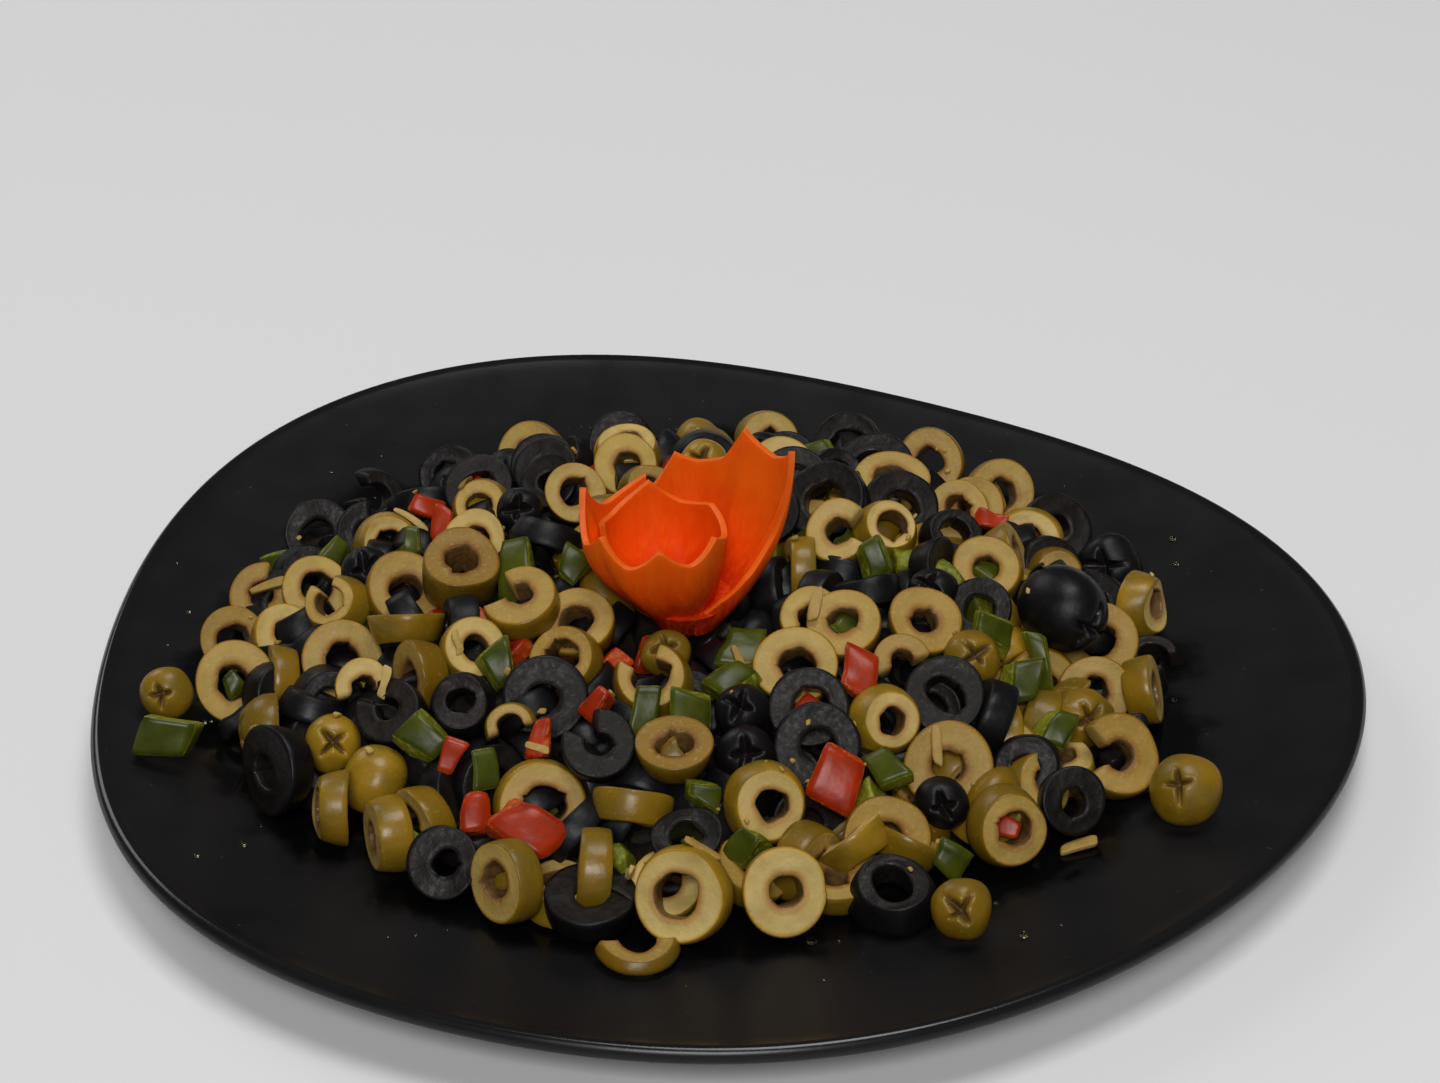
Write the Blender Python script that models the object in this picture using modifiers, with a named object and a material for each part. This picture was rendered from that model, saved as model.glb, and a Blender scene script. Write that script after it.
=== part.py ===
"""Olive salad heaped on a black pebble-shaped plate, with a carved carrot flower on top.

The heap is one solid: a mound-shaped core with the olive slices, olive ends and diced vegetables
that show fused to it. Pieces that lie apart on the plate are solids of their own.
Sizes are written in millimetres, and each finished mesh is scaled once to metres.
"""

import math

import bmesh
import bpy
import numpy as np
from mathutils import Matrix

MM = 0.001
GAP = 0.4  # clearance between solids that touch on the real plate

# Plate: a shallow turned dish, drawn out from a circle to a pebble outline.
PLATE_RADIUS = 145.0
PLATE_CENTRE = (-17.0, -21.2)
PLATE_SWELLS = ((1, 23.2, 63.0), (2, 3.8, -16.0), (3, 5.9, 0.0), (4, 3.5, 21.0))  # lobes, mm, degrees
PLATE_STEPS = 44
PLATE_THICKNESS = 4.6
WELL_HEIGHT = 8.0
RIM_HEIGHT = 16.5
RIM_WIDTH = 3.6
RISE_WIDTH = 56.0
RISE_SHARES = (0.3, 0.55, 0.8, 1.0)
LIP_INNER_DROP = 1.0
LIP_PROFILE = ((0.55, 0.0), (0.15, 0.7), (0.0, 2.2))  # inset as a share of the rim's width, drop
FOOT_RADIUS = 92.0
DRAW_ROUNDS = 8  # rounds that undo the drawing out when a height is looked up

# Mound: the surface that the tops of the pieces follow.
MOUND_CENTRE = (-9.0, 0.5)
MOUND_REACH = (114.0, 99.5)
MOUND_HEIGHT = 36.0
MOUND_FULLNESS = 0.6
NEST_CENTRE = (-10.0, -8.0)  # where the flower presses the mound in
NEST_REACH = 30.0
NEST_DEPTH = 9.0
CORE_REACH = 0.94
CORE_DEPTH = 6.5
CORE_STEPS = 24
CORE_RINGS = 4
CORE_FOOT = (1.0, 0.8, 0.5, 0.0)  # rings of its underside, as shares of its reach
SINK_SHARE = 0.8  # how much of a piece's height lies below the mound's surface
WHOLE_SINK = 0.3

# Olives and vegetables. Shares are of the size across.
SLICE_THICKNESS = 7.0
THICK_SLICE = 11.0
HOLE_SHARE = 0.40
SLICE_SIDES = 7
SMALL_SLICE = 18.0  # slices up to this size across have one side fewer
SWEEPS = {"ring": 360.0, "thick": 360.0, "hook": 275.0, "half": 180.0, "sliver": 130.0}
SLIVER_THICKNESS = 3.5
END_HEIGHT = 0.5
END_PROFILE = ((0.0, 0.6), (0.6, 0.45), (0.97, 0.0), (0.9, -0.4), (0.0, -0.4))  # of radius, height
WHOLE_LENGTH = 1.2
WHOLE_SEGMENTS = (12, 8)
BLOCKS = {"dice": (1.0, 0.85, 0.72), "strip": (1.0, 0.42, 0.3), "bit": (1.0, 0.6, 0.45)}
BLOCK_SKEW = 0.12

# Carrot flower: an inner cup rolled from one strip, and a taller sheet round its back and right.
CARROT_BASE = (-11.0, -2.0, 27.0)
CARROT_WALL = 1.5
CUP_LEAN = -6.0
CUP_START = 100.0
CUP_SWEEP = 450.0
CUP_COLUMNS = 30
CUP_FOOT = (6.5, 2.2)
CUP_RIM = (18.5, 13.0)
CUP_SADDLE = 24.5
# Tips of its petals: direction in degrees and height.
CUP_TIPS = ((100, 29), (168, 35), (222, 31), (272, 30), (325, 29), (395, 27), (460, 30), (550, 28))
PETAL_SHARPNESS = 1.6
SHEET_FOOT = 8.0
# Rim of the sheet, from its low front end round the right to its back end: x, y, height.
SHEET_RIM = (
    (2.5, -8, 6), (8.5, -7, 10), (14, -5, 15), (20, 0.5, 22), (25, 5, 43.5), (21, 10.5, 38.5),
    (14, 15.5, 43), (8.5, 19, 33), (3, 21, 31), (-2.5, 21.5, 33), (-8, 21, 24),
)
CARROT_ROWS = 4
PLUG_PROFILE = ((7.0, 0.0), (11.0, 7.0))
PLUG_STEPS = 16
# The room that the flower takes from the salad: half-widths at its foot and where it is widest,
# the height where it is widest, and its top, with the levels between.
FLOWER_FOOT = 9.8
FLOWER_REACH = (28.0, 21.0)
FLOWER_FLARE = 24.0
FLOWER_TOP = 46.0
FLOWER_LEVELS = (0.0, 0.15, 0.3, 0.5, 1.0)

# The salad as laid: courses round the mound, each at a share of its reach. A course has four
# quarters, from the left to the front, on to the right, to the back and to the left again. A piece
# is its colour, shape and size across, and its pose where that is not the usual one.
COURSES = (
    (0.95, (
        "green ring 20, black bit 8, green end 18 left, black ring 22 left, green ring 18 left,"
        "green ring 18 left, black ring 17, green ring 19 left, black ring 21 flat, green ring 22",
        "green ring 20, black ring 21 flat, pepper dice 8, green ring 19, black ring 16,"
        "green hook 20, black bit 8, green ring 17 right, black hook 16 flat",
        "green ring 18 right, black end 17, black ring 19, green ring 18, green ring 19,"
        "black ring 19, green ring 16, green end 14",
        "black ring 18, green ring 18, black ring 17, black hook 17, black ring 18, pepper dice 9,"
        "green hook 17, green ring 17",
    )),
    (0.84, (
        "green ring 18 left, black ring 18 back, green end 14, green end 16, green half 18 left,"
        "red dice 9, red dice 14, green half 20 edge, black ring 16 flat",
        "pepper dice 8, green half 20 edge, green ring 20, black end 13, green end 15, black hook 17,"
        "pepper dice 10, green end 15, green hook 18, green ring 20",
        "black ring 18, green half 15, green ring 18, green ring 17, black bit 9, black ring 21 flat,"
        "pepper dice 9, black end 14, green ring 17",
        "green ring 18, black ring 18, pepper bit 9, black ring 20 back, black hook 17,"
        "pepper dice 8, green ring 17, green ring 16",
    )),
    (0.73, (
        "green ring 20, green half 14, black hook 16, pepper dice 11, red bit 9, pepper bit 9,"
        "green ring 22, green half 19 back, pepper dice 8",
        "green ring 20, red dice 13, pepper dice 9, green ring 21, black ring 18 left,"
        "pepper dice 11, pepper strip 13, black whole 20 front",
        "black ring 17 back, green ring 19 right, red bit 8, green ring 17, green hook 20 flat,"
        "black hook 16, green half 17, black ring 19",
        "green ring 18 flat, black ring 17, black ring 18, red bit 8, green ring 18, black end 12,"
        "green hook 17",
    )),
    (0.62, (
        "green ring 19 back, green ring 18 left, black ring 16, green half 13, red bit 9,"
        "black hook 17, green ring 18 flat",
        "black end 14, black ring 20, green ring 18, black ring 19, green end 14, pepper dice 10,"
        "black ring 16",
        "green ring 18, black ring 16, black ring 20, pepper bit 8, black hook 17, pepper dice 7,"
        "green end 13",
        "green ring 17, black ring 15, green ring 17, red bit 8, pepper bit 8, green ring 20",
    )),
    (0.50, (
        "black ring 15 left, green ring 16, pepper dice 10, black ring 20, red dice 8,"
        "pepper strip 14, pepper dice 9",
        "black end 13, black ring 19, red bit 12, green half 14, green ring 18, black end 12",
        "black ring 17 right, green ring 17, black ring 22, green ring 16, red bit 8",
        "green half 15, green ring 16, black end 12, green ring 16, green thick 19 flat",
    )),
    (0.37, (
        "green hook 18 flat, green ring 18, green hook 20",
        "pepper dice 11, green ring 20, green ring 18, black ring 17 back",
        "pepper dice 9, green hook 17, black ring 17, pepper dice 9",
        "green half 14, green half 12 edge, black ring 20 back, pepper strip 19",
    )),
    (0.26, (
        "green ring 19, green end 12",
        "pepper dice 10, green half 16",
        "green half 17 edge, green hook 16",
        "green hook 15, pepper dice 8",
    )),
)
COURSE_START = 184.4  # direction in which the first piece of a course lies, in degrees
# Poses: turn (degrees, the way the cut face looks: 0 is to the front and 90 to the right) and lean
# (degrees, 0 stands on edge and 90 lies flat). The usual lean follows the slope of the mound.
POSES = {"flat": (0.0, 78.0), "left": (-62.0, 15.0), "right": (62.0, 15.0), "edge": (80.0, 8.0),
         "back": (180.0, 50.0), "front": (22.0, 5.0)}
SPINS = {"sliver": 205.0, "half": 15.0}  # turn about its own axis, where not by chance
LEAN_MIDDLE = 66.0
LEAN_EDGE = 36.0
TURN_SCATTER = 24.0
LEAN_SCATTER = 9.0
SHARE_SCATTER = 0.02
# Pieces that lie apart on the plate: x, y and the piece.
APART_PIECES = {
    "olive_sliver_front": (-20.0, -108.0, "green sliver 20 flat"),
    "olive_end_front": (49.0, -99.0, "green end 14"),
    "olive_end_right": (101.0, -58.0, "green end 17"),
    "olive_end_left": (-131.0, -21.0, "green end 13"),
    "pepper_piece_left": (-129.0, -38.0, "pepper dice 12"),
}
APART_MARGIN = 1.2  # kept further from the neighbours than pieces of the heap

# Settling: balls stand for the pieces, which push each other apart and are drawn back a little.
SEED = 7
SETTLE_ROUNDS = 60
HOLD_SHARE = 0.03
TURN_LIMIT = 0.06
BALLS_ROUND = 12
END_BALL = 0.24
END_BALL_RISE = 0.8
WHOLE_BALL = 0.95
BALL_INERTIA = 0.4

LOOKS = {
    "plate": ((0.016, 0.016, 0.017), 0.45),
    "olive_green": ((0.42, 0.29, 0.07), 0.4),
    "pepper": ((0.09, 0.2, 0.015), 0.35),
    "carrot": ((0.80, 0.13, 0.01), 0.5),
}
APART_LOOKS = {"green": "olive_green", "pepper": "pepper"}
SHARP_ANGLE = 40.0
WELD = 0.002
FOOT_LIFT = 1.0


# ---------------------------------------------------------------- surfaces
def pebble_radius(angle):
    """Radius of the plate's outline at an angle in radians."""
    radius = PLATE_RADIUS + 0 * angle
    for lobes, swell, way in PLATE_SWELLS:
        radius = radius + swell * np.cos(lobes * (angle - math.radians(way)))
    return radius


def draw_out(radius, angle):
    """Move the round dish to the pebble outline: all of the swell at the rim, none at the middle."""
    share = radius / PLATE_RADIUS
    return radius + (pebble_radius(angle) - PLATE_RADIUS) * share * share * (3 - 2 * share)


def dish_height(radius):
    """Height of the round dish's upper face: a flat well that rises towards the rim."""
    inset = PLATE_RADIUS - RIM_WIDTH - radius
    rise = np.clip(1 - inset / RISE_WIDTH, 0, 1)
    return WELL_HEIGHT + (RIM_HEIGHT - LIP_INNER_DROP - WELL_HEIGHT) * rise * rise


def plate_top(x, y):
    """Height of the plate's upper face below a point."""
    angle = np.arctan2(y - PLATE_CENTRE[1], x - PLATE_CENTRE[0])
    distance = np.hypot(x - PLATE_CENTRE[0], y - PLATE_CENTRE[1])
    radius = distance
    for _ in range(DRAW_ROUNDS):
        radius = radius + distance - draw_out(radius, angle)
    return dish_height(radius)


def mound_share(x, y):
    """0 at the middle of the mound and 1 at its edge."""
    return np.hypot((x - MOUND_CENTRE[0]) / MOUND_REACH[0], (y - MOUND_CENTRE[1]) / MOUND_REACH[1])


def mound_top(x, y):
    """Height that the tops of the pieces follow."""
    fullness = np.clip(1 - mound_share(x, y) ** 2, 0, 1) ** MOUND_FULLNESS
    to_nest = np.hypot(x - NEST_CENTRE[0], y - NEST_CENTRE[1])
    return WELL_HEIGHT + MOUND_HEIGHT * fullness - NEST_DEPTH * np.exp(-(to_nest / NEST_REACH) ** 2)


def flower_room(height):
    """Half-widths, along x and y, of the room the flower takes at a height above its base."""
    flare = np.sin(np.clip(height / FLOWER_FLARE, 0, 1) * math.pi / 2)
    return FLOWER_FOOT + (FLOWER_REACH[0] - FLOWER_FOOT) * flare, (
        FLOWER_FOOT + (FLOWER_REACH[1] - FLOWER_FOOT) * flare)


# ---------------------------------------------------------------- the salad's pieces
class Piece:
    """One slice, end or dice: its shape, its place and the balls that stand for it as it settles."""

    def __init__(self, words, x, y, draw):
        self.colour, self.shape, across, *pose = words.split()
        self.across = float(across)
        share = float(mound_share(x, y))
        usual = (0.0, LEAN_MIDDLE + (LEAN_EDGE - LEAN_MIDDLE) * share)
        turn, lean = POSES[pose[0]] if pose else usual
        turn += draw.uniform(-TURN_SCATTER, TURN_SCATTER)
        lean += draw.uniform(-LEAN_SCATTER, LEAN_SCATTER)
        spin = SPINS.get(self.shape, draw.uniform(0, 360))
        self.axes = np.array(
            Matrix.Rotation(math.radians(turn), 3, "Z")
            @ Matrix.Rotation(math.radians(90 - lean), 3, "X")
            @ Matrix.Rotation(math.radians(spin), 3, "Z")
        )
        self.balls, self.ball_radius = self.settling_balls()
        rise = max(0.0, -float((self.balls @ self.axes.T)[:, 2].min())) + self.ball_radius
        low = float(plate_top(x, y)) + GAP + rise
        sink = WHOLE_SINK if self.shape == "whole" else SINK_SHARE
        self.centre = np.array((x, y, max(low, float(mound_top(x, y)) - sink * rise)))
        self.apart = share > 1

    def thickness(self):
        """Thickness of a slice."""
        return {"thick": THICK_SLICE, "sliver": SLIVER_THICKNESS}.get(self.shape, SLICE_THICKNESS)

    def settling_balls(self):
        """Centres and radius of balls that fill the shape, about its own centre."""
        radius = self.across / 2
        if self.shape in SWEEPS:
            hole = radius * HOLE_SHARE
            ball = min(radius - hole, self.thickness()) / 2
            sweep = SWEEPS[self.shape]
            count = max(4, round(BALLS_ROUND * sweep / 360))
            angles = np.arange(count) * math.radians(sweep) / (count - (sweep < 360))
            middle = (radius + hole) / 2
            flat = np.stack((np.cos(angles) * middle, np.sin(angles) * middle, 0 * angles), axis=1)
            spare = self.thickness() / 2 - ball
            if spare > 1:
                flat = np.concatenate((flat + (0, 0, spare), flat - (0, 0, spare)))
            self.middle = flat.mean(axis=0)
            return flat - self.middle, ball
        if self.shape == "end":
            ball = self.across * END_BALL
            angles = np.arange(6) * math.pi / 3
            low = np.stack((np.cos(angles), np.sin(angles), 0 * angles), axis=1) * (radius - ball)
            return np.concatenate((low, ((0, 0, ball * END_BALL_RISE),))), ball
        if self.shape == "whole":
            step = self.across * (WHOLE_LENGTH - 1)
            return np.array(((0, 0, -step), (0, 0, 0), (0, 0, step))), radius * WHOLE_BALL
        sides = np.array(BLOCKS[self.shape]) * self.across
        ball = sides.min() / 2
        corners = np.array([(a, b, c) for a in (-1, 0, 1) for b in (-1, 1) for c in (-1, 1)])
        return corners * np.maximum(sides / 2 - ball, 0), ball


def lay_courses(draw):
    """The pieces of the heap, each taking room round its course in proportion to its size."""
    pieces = []
    for share, quarters in COURSES:
        for quarter, row in enumerate(quarters):
            row = row.split(",")
            sizes = [float(words.split()[2]) for words in row]
            taken = 0.0
            for words, size in zip(row, sizes):
                angle = math.radians(COURSE_START + 90 * (quarter + (taken + size / 2) / sum(sizes)))
                reach = share + draw.uniform(-SHARE_SCATTER, SHARE_SCATTER)
                x = MOUND_CENTRE[0] + MOUND_REACH[0] * reach * math.cos(angle)
                y = MOUND_CENTRE[1] + MOUND_REACH[1] * reach * math.sin(angle)
                pieces.append(Piece(words, x, y, draw))
                taken += size
    return pieces


def settle(pieces):
    """Push the pieces out of each other, out of the plate and clear of the flower."""
    owner = np.concatenate([np.full(len(piece.balls), i) for i, piece in enumerate(pieces)])
    radii = np.array([piece.ball_radius + APART_MARGIN * piece.apart for piece in pieces])[owner]
    local = np.concatenate([piece.balls for piece in pieces])
    start = np.array([piece.centre for piece in pieces])
    for _ in range(SETTLE_ROUNDS):
        centres = np.array([piece.centre for piece in pieces])
        axes = np.array([piece.axes for piece in pieces])
        arms = np.einsum("nij,nj->ni", axes[owner], local)
        balls = centres[owner] + arms
        push = ball_pushes(balls, radii, owner) + plate_pushes(balls, radii) + flower_pushes(balls, radii)
        touched = np.bincount(owner, np.abs(push).sum(axis=1) > 0, len(pieces))
        shift = sum_by_piece(push, owner, len(pieces)) / np.maximum(touched, 1)[:, None]
        torque = sum_by_piece(np.cross(arms, push), owner, len(pieces))
        inertia = np.bincount(owner, (arms**2).sum(axis=1) + BALL_INERTIA * radii**2, len(pieces))
        spin = np.clip(torque / inertia[:, None], -TURN_LIMIT, TURN_LIMIT)
        for i, piece in enumerate(pieces):
            piece.centre = piece.centre + shift[i] + (start[i] - piece.centre) * HOLD_SHARE
            angle = float(np.linalg.norm(spin[i]))
            if angle > 1e-6:
                piece.axes = np.array(Matrix.Rotation(angle, 3, spin[i])) @ piece.axes


def sum_by_piece(values, owner, count):
    """Add up the balls' vectors for each piece."""
    return np.stack([np.bincount(owner, values[:, axis], count) for axis in range(3)], axis=1)


def ball_pushes(balls, radii, owner):
    """How far each ball is pushed by the balls of other pieces."""
    push = np.zeros_like(balls)
    reach = 2 * radii.max() + GAP
    order = np.argsort(balls[:, 0], kind="stable")
    along = balls[order, 0]
    for rank, i in enumerate(order):
        stop = np.searchsorted(along, along[rank] + reach)
        near = order[rank + 1:stop]
        near = near[owner[near] != owner[i]]
        apart = balls[i] - balls[near]
        distance = np.sqrt((apart**2).sum(axis=1)) + 1e-9
        depth = radii[i] + radii[near] + GAP - distance
        hit = depth > 0
        if hit.any():
            step = apart[hit] / distance[hit, None] * depth[hit, None] / 2
            push[i] += step.sum(axis=0)
            np.subtract.at(push, near[hit], step)
    return push


def plate_pushes(balls, radii):
    """How far each ball is lifted to clear the plate."""
    depth = plate_top(balls[:, 0], balls[:, 1]) + GAP + radii - balls[:, 2]
    return np.stack((0 * depth, 0 * depth, np.maximum(depth, 0)), axis=1)


def flower_pushes(balls, radii):
    """How far each ball is moved sideways to clear the flower."""
    x, y, height = (balls - CARROT_BASE).T
    room_x, room_y = flower_room(height)
    share = np.hypot(x / (room_x + radii + GAP), y / (room_y + radii + GAP)) + 1e-9
    inside = (share < 1) & (height > -radii)
    depth = np.where(inside, (1 / share - 1), 0)
    return np.stack((x * depth, y * depth, 0 * depth), axis=1)


# ---------------------------------------------------------------- meshes
def turned(profile, steps, sweep=360.0, closed=False):
    """A bmesh of (radius, height) points turned about Z; a part turn has its two ends filled."""
    bm = bmesh.new()
    verts = [bm.verts.new((radius, 0, height)) for radius, height in profile]
    edges = [bm.edges.new(pair) for pair in zip(verts, verts[1:])]
    if closed:
        edges.append(bm.edges.new((verts[-1], verts[0])))
    whole = sweep == 360.0
    bmesh.ops.spin(bm, geom=verts + edges, axis=(0, 0, 1), cent=(0, 0, 0),
                   angle=math.radians(sweep), steps=steps, use_merge=whole)
    bmesh.ops.remove_doubles(bm, verts=bm.verts, dist=1e-4)
    if not whole:
        bmesh.ops.holes_fill(bm, edges=[edge for edge in bm.edges if edge.is_boundary])
    bmesh.ops.recalc_face_normals(bm, faces=bm.faces)
    return bm


def piece_mesh(piece):
    """A closed bmesh of a piece, in its place, lifted clear of the plate."""
    radius = piece.across / 2
    if piece.shape in SWEEPS:
        sweep = SWEEPS[piece.shape]
        hole = radius * HOLE_SHARE
        half = piece.thickness() / 2
        section = ((hole, -half), (radius, -half), (radius, half), (hole, half))
        sides = SLICE_SIDES - (piece.across <= SMALL_SLICE)
        bm = turned(section, max(4, round(sides * sweep / 360)), sweep, closed=True)
        bmesh.ops.translate(bm, vec=-piece.middle, verts=bm.verts)
    elif piece.shape == "end":
        height = piece.across * END_HEIGHT
        bm = turned([(radius * out, height * up) for out, up in END_PROFILE], SLICE_SIDES)
    elif piece.shape == "whole":
        bm = bmesh.new()
        around, along = WHOLE_SEGMENTS
        bmesh.ops.create_uvsphere(bm, u_segments=around, v_segments=along, radius=radius)
        bmesh.ops.scale(bm, vec=(1, 1, WHOLE_LENGTH), verts=bm.verts)
    else:
        bm = bmesh.new()
        bmesh.ops.create_cube(bm, size=piece.across)
        bmesh.ops.scale(bm, vec=BLOCKS[piece.shape], verts=bm.verts)
        for vert in bm.verts:
            vert.co.x += vert.co.y * BLOCK_SKEW
            vert.co.z += vert.co.x * BLOCK_SKEW
    bm.transform(Matrix.Translation(piece.centre) @ Matrix(piece.axes.tolist()).to_4x4())
    lift = max(float(plate_top(vert.co.x, vert.co.y)) + GAP - vert.co.z for vert in bm.verts)
    bmesh.ops.translate(bm, vec=(0, 0, max(lift, 0)), verts=bm.verts)
    return bm


def make_object(name, bm, collection):
    """An object in millimetres from a bmesh, in a collection."""
    mesh = bpy.data.meshes.new(name)
    bm.to_mesh(mesh)
    bm.free()
    part = bpy.data.objects.new(name, mesh)
    collection.objects.link(part)
    return part


def evaluated_mesh(source):
    """The mesh of an object with its modifiers applied."""
    graph = bpy.context.evaluated_depsgraph_get()
    return bpy.data.meshes.new_from_object(source.evaluated_get(graph))


def finish(part, look):
    """Apply the modifiers, scale to metres, shade smooth and give the material."""
    mesh = evaluated_mesh(part)
    part.modifiers.clear()
    mesh.transform(Matrix.Scale(MM, 4))
    mesh.shade_smooth()
    mesh.set_sharp_from_angle(angle=math.radians(SHARP_ANGLE))
    mesh.materials.clear()
    mesh.materials.append(material(look))
    mesh.name = part.name
    part.data = mesh


def material(look):
    """A plain Principled material, made once for each look."""
    if look in bpy.data.materials:
        return bpy.data.materials[look]
    colour, roughness = LOOKS[look]
    made = bpy.data.materials.new(look)
    made.use_nodes = True
    shader = made.node_tree.nodes["Principled BSDF"]
    shader.inputs["Base Color"].default_value = (*colour, 1)
    shader.inputs["Roughness"].default_value = roughness
    return made


def new_collection(name):
    """A collection linked to the scene."""
    collection = bpy.data.collections.new(name)
    bpy.context.scene.collection.children.link(collection)
    return collection


def remove_collection(collection):
    """Remove a collection and the objects in it, once the Booleans that use them are applied."""
    for member in list(collection.objects):
        bpy.data.objects.remove(member, do_unlink=True)
    bpy.data.collections.remove(collection)


# ---------------------------------------------------------------- plate
def make_plate(parts):
    """The dish is turned as one profile and then drawn out to the pebble outline."""
    edge = PLATE_RADIUS
    well = edge - RIM_WIDTH - RISE_WIDTH
    rise = [well + RISE_WIDTH * share for share in RISE_SHARES]
    profile = [(radius, dish_height(radius)) for radius in (0, well / 2, well, *rise)]
    profile += [(edge - RIM_WIDTH * inset, RIM_HEIGHT - drop) for inset, drop in LIP_PROFILE]
    profile += [(radius, dish_height(radius) - PLATE_THICKNESS) for radius in rise[:0:-1]]
    profile += [(FOOT_RADIUS, dish_height(FOOT_RADIUS) - PLATE_THICKNESS), (FOOT_RADIUS, 0), (0, 0)]
    bm = turned(profile, PLATE_STEPS)
    for vert in bm.verts:
        radius = math.hypot(vert.co.x, vert.co.y)
        angle = math.atan2(vert.co.y, vert.co.x)
        radius = float(draw_out(radius, angle))
        vert.co.x = PLATE_CENTRE[0] + radius * math.cos(angle)
        vert.co.y = PLATE_CENTRE[1] + radius * math.sin(angle)
    finish(make_object("plate", bm, parts), "plate")


# ---------------------------------------------------------------- salad
def make_core(parts):
    """The mound under the pieces that show: its foot follows the plate, its top the pieces."""
    shares = [CORE_REACH * math.sqrt(ring / CORE_RINGS) for ring in range(CORE_RINGS + 1)]
    top = [(share, 1) for share in shares]
    foot = [(CORE_REACH * share, 0) for share in CORE_FOOT]
    bm = turned(top + foot, CORE_STEPS)
    for vert in bm.verts:
        on_top = vert.co.z > 0.5
        x = MOUND_CENTRE[0] + vert.co.x * MOUND_REACH[0]
        y = MOUND_CENTRE[1] + vert.co.y * MOUND_REACH[1]
        height = mound_top(x, y) - CORE_DEPTH if on_top else plate_top(x, y) + GAP
        vert.co = (x, y, float(height))
    return make_object("salad_heap", bm, parts)


def make_flower_room(cutters):
    """The room kept free for the carrot flower, as a cutter."""
    levels = [FLOWER_TOP * share for share in FLOWER_LEVELS]
    bm = turned([(0, -GAP)] + [(1, level) for level in levels] + [(0, FLOWER_TOP)], PLUG_STEPS)
    for vert in bm.verts:
        room_x, room_y = flower_room(vert.co.z)
        vert.co.x = CARROT_BASE[0] + vert.co.x * float(room_x + GAP / 2)
        vert.co.y = CARROT_BASE[1] + vert.co.y * float(room_y + GAP / 2)
        vert.co.z += CARROT_BASE[2]
    room = make_object("flower_room", bm, cutters)
    room.hide_render = True
    room.display_type = "WIRE"
    return room


def keep_largest(mesh):
    """Drop the loose scraps and sealed hollows that fusing leaves, and weld its slivers."""
    bm = bmesh.new()
    bm.from_mesh(mesh)
    bmesh.ops.remove_doubles(bm, verts=bm.verts, dist=WELD)
    bmesh.ops.dissolve_degenerate(bm, edges=bm.edges, dist=WELD)
    bmesh.ops.triangulate(bm, faces=bm.faces)
    left = set(bm.faces)
    bodies = []
    while left:
        body = {left.pop()}
        edge_of_body = list(body)
        while edge_of_body:
            face = edge_of_body.pop()
            for near in {other for edge in face.edges for other in edge.link_faces} - body:
                body.add(near)
                edge_of_body.append(near)
        left -= body
        bodies.append(body)
    bodies.sort(key=len)
    scraps = [face for body in bodies[:-1] for face in body]
    bmesh.ops.delete(bm, geom=scraps, context="FACES")
    bm.to_mesh(mesh)
    bm.free()


def apply_joined(part):
    """Apply an object's Booleans and keep the one body they make."""
    mesh = evaluated_mesh(part)
    part.modifiers.clear()
    keep_largest(mesh)
    part.data = mesh


def make_salad(parts, cutters):
    """Settle the pieces, fuse those of the heap to its core, and set the rest apart on the plate."""
    draw = np.random.default_rng(SEED)
    apart = {name: Piece(words, x, y, draw) for name, (x, y, words) in APART_PIECES.items()}
    laid = lay_courses(draw)
    settle([*apart.values(), *laid])
    heap = make_core(parts)
    for name, piece in apart.items():
        finish(make_object(name, piece_mesh(piece), parts), APART_LOOKS[piece.colour])
    loose = new_collection("heap_pieces")
    for number, piece in enumerate(laid):
        make_object(f"piece_{number:03d}", piece_mesh(piece), loose)
    fuse = heap.modifiers.new("fuse the pieces", "BOOLEAN")
    fuse.operation = "UNION"
    fuse.operand_type = "COLLECTION"
    fuse.collection = loose
    fuse.solver = "MANIFOLD"
    room = heap.modifiers.new("room for the flower", "BOOLEAN")
    room.operation = "DIFFERENCE"
    room.object = make_flower_room(cutters)
    room.solver = "MANIFOLD"
    apply_joined(heap)
    remove_collection(loose)
    finish(heap, "olive_green")


# ---------------------------------------------------------------- carrot flower
def carrot_sheet(name, columns, walls):
    """A thin wall that flares from foot to rim; a column is its foot and its rim."""
    bm = bmesh.new()
    grid = []
    for foot, rim in columns:
        column = []
        for row in range(CARROT_ROWS + 1):
            rise = row / CARROT_ROWS
            flare = math.sin(rise * math.pi / 2)
            x = foot[0] + (rim[0] - foot[0]) * flare
            y = foot[1] + (rim[1] - foot[1]) * flare
            column.append(bm.verts.new((x, y, foot[2] + (rim[2] - foot[2]) * rise)))
        grid.append(column)
    for left, right in zip(grid, grid[1:]):
        for row in range(CARROT_ROWS):
            bm.faces.new((left[row], right[row], right[row + 1], left[row + 1]))
    sheet = make_object(name, bm, walls)
    wall = sheet.modifiers.new("wall", "SOLIDIFY")
    wall.thickness = CARROT_WALL
    wall.offset = 0
    sheet.modifiers.new("flat faces", "TRIANGULATE")
    return sheet


def petal_height(angle):
    """Height of the cup's rim: pointed tips with smooth saddles between them."""
    number = max(i for i, (way, _) in enumerate(CUP_TIPS[:-1]) if way <= angle)
    (before, low), (after, high) = CUP_TIPS[number:number + 2]
    share = (angle - before) / (after - before)
    tip = low if share < 0.5 else high
    return CUP_SADDLE + (tip - CUP_SADDLE) * abs(2 * share - 1) ** PETAL_SHARPNESS


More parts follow.
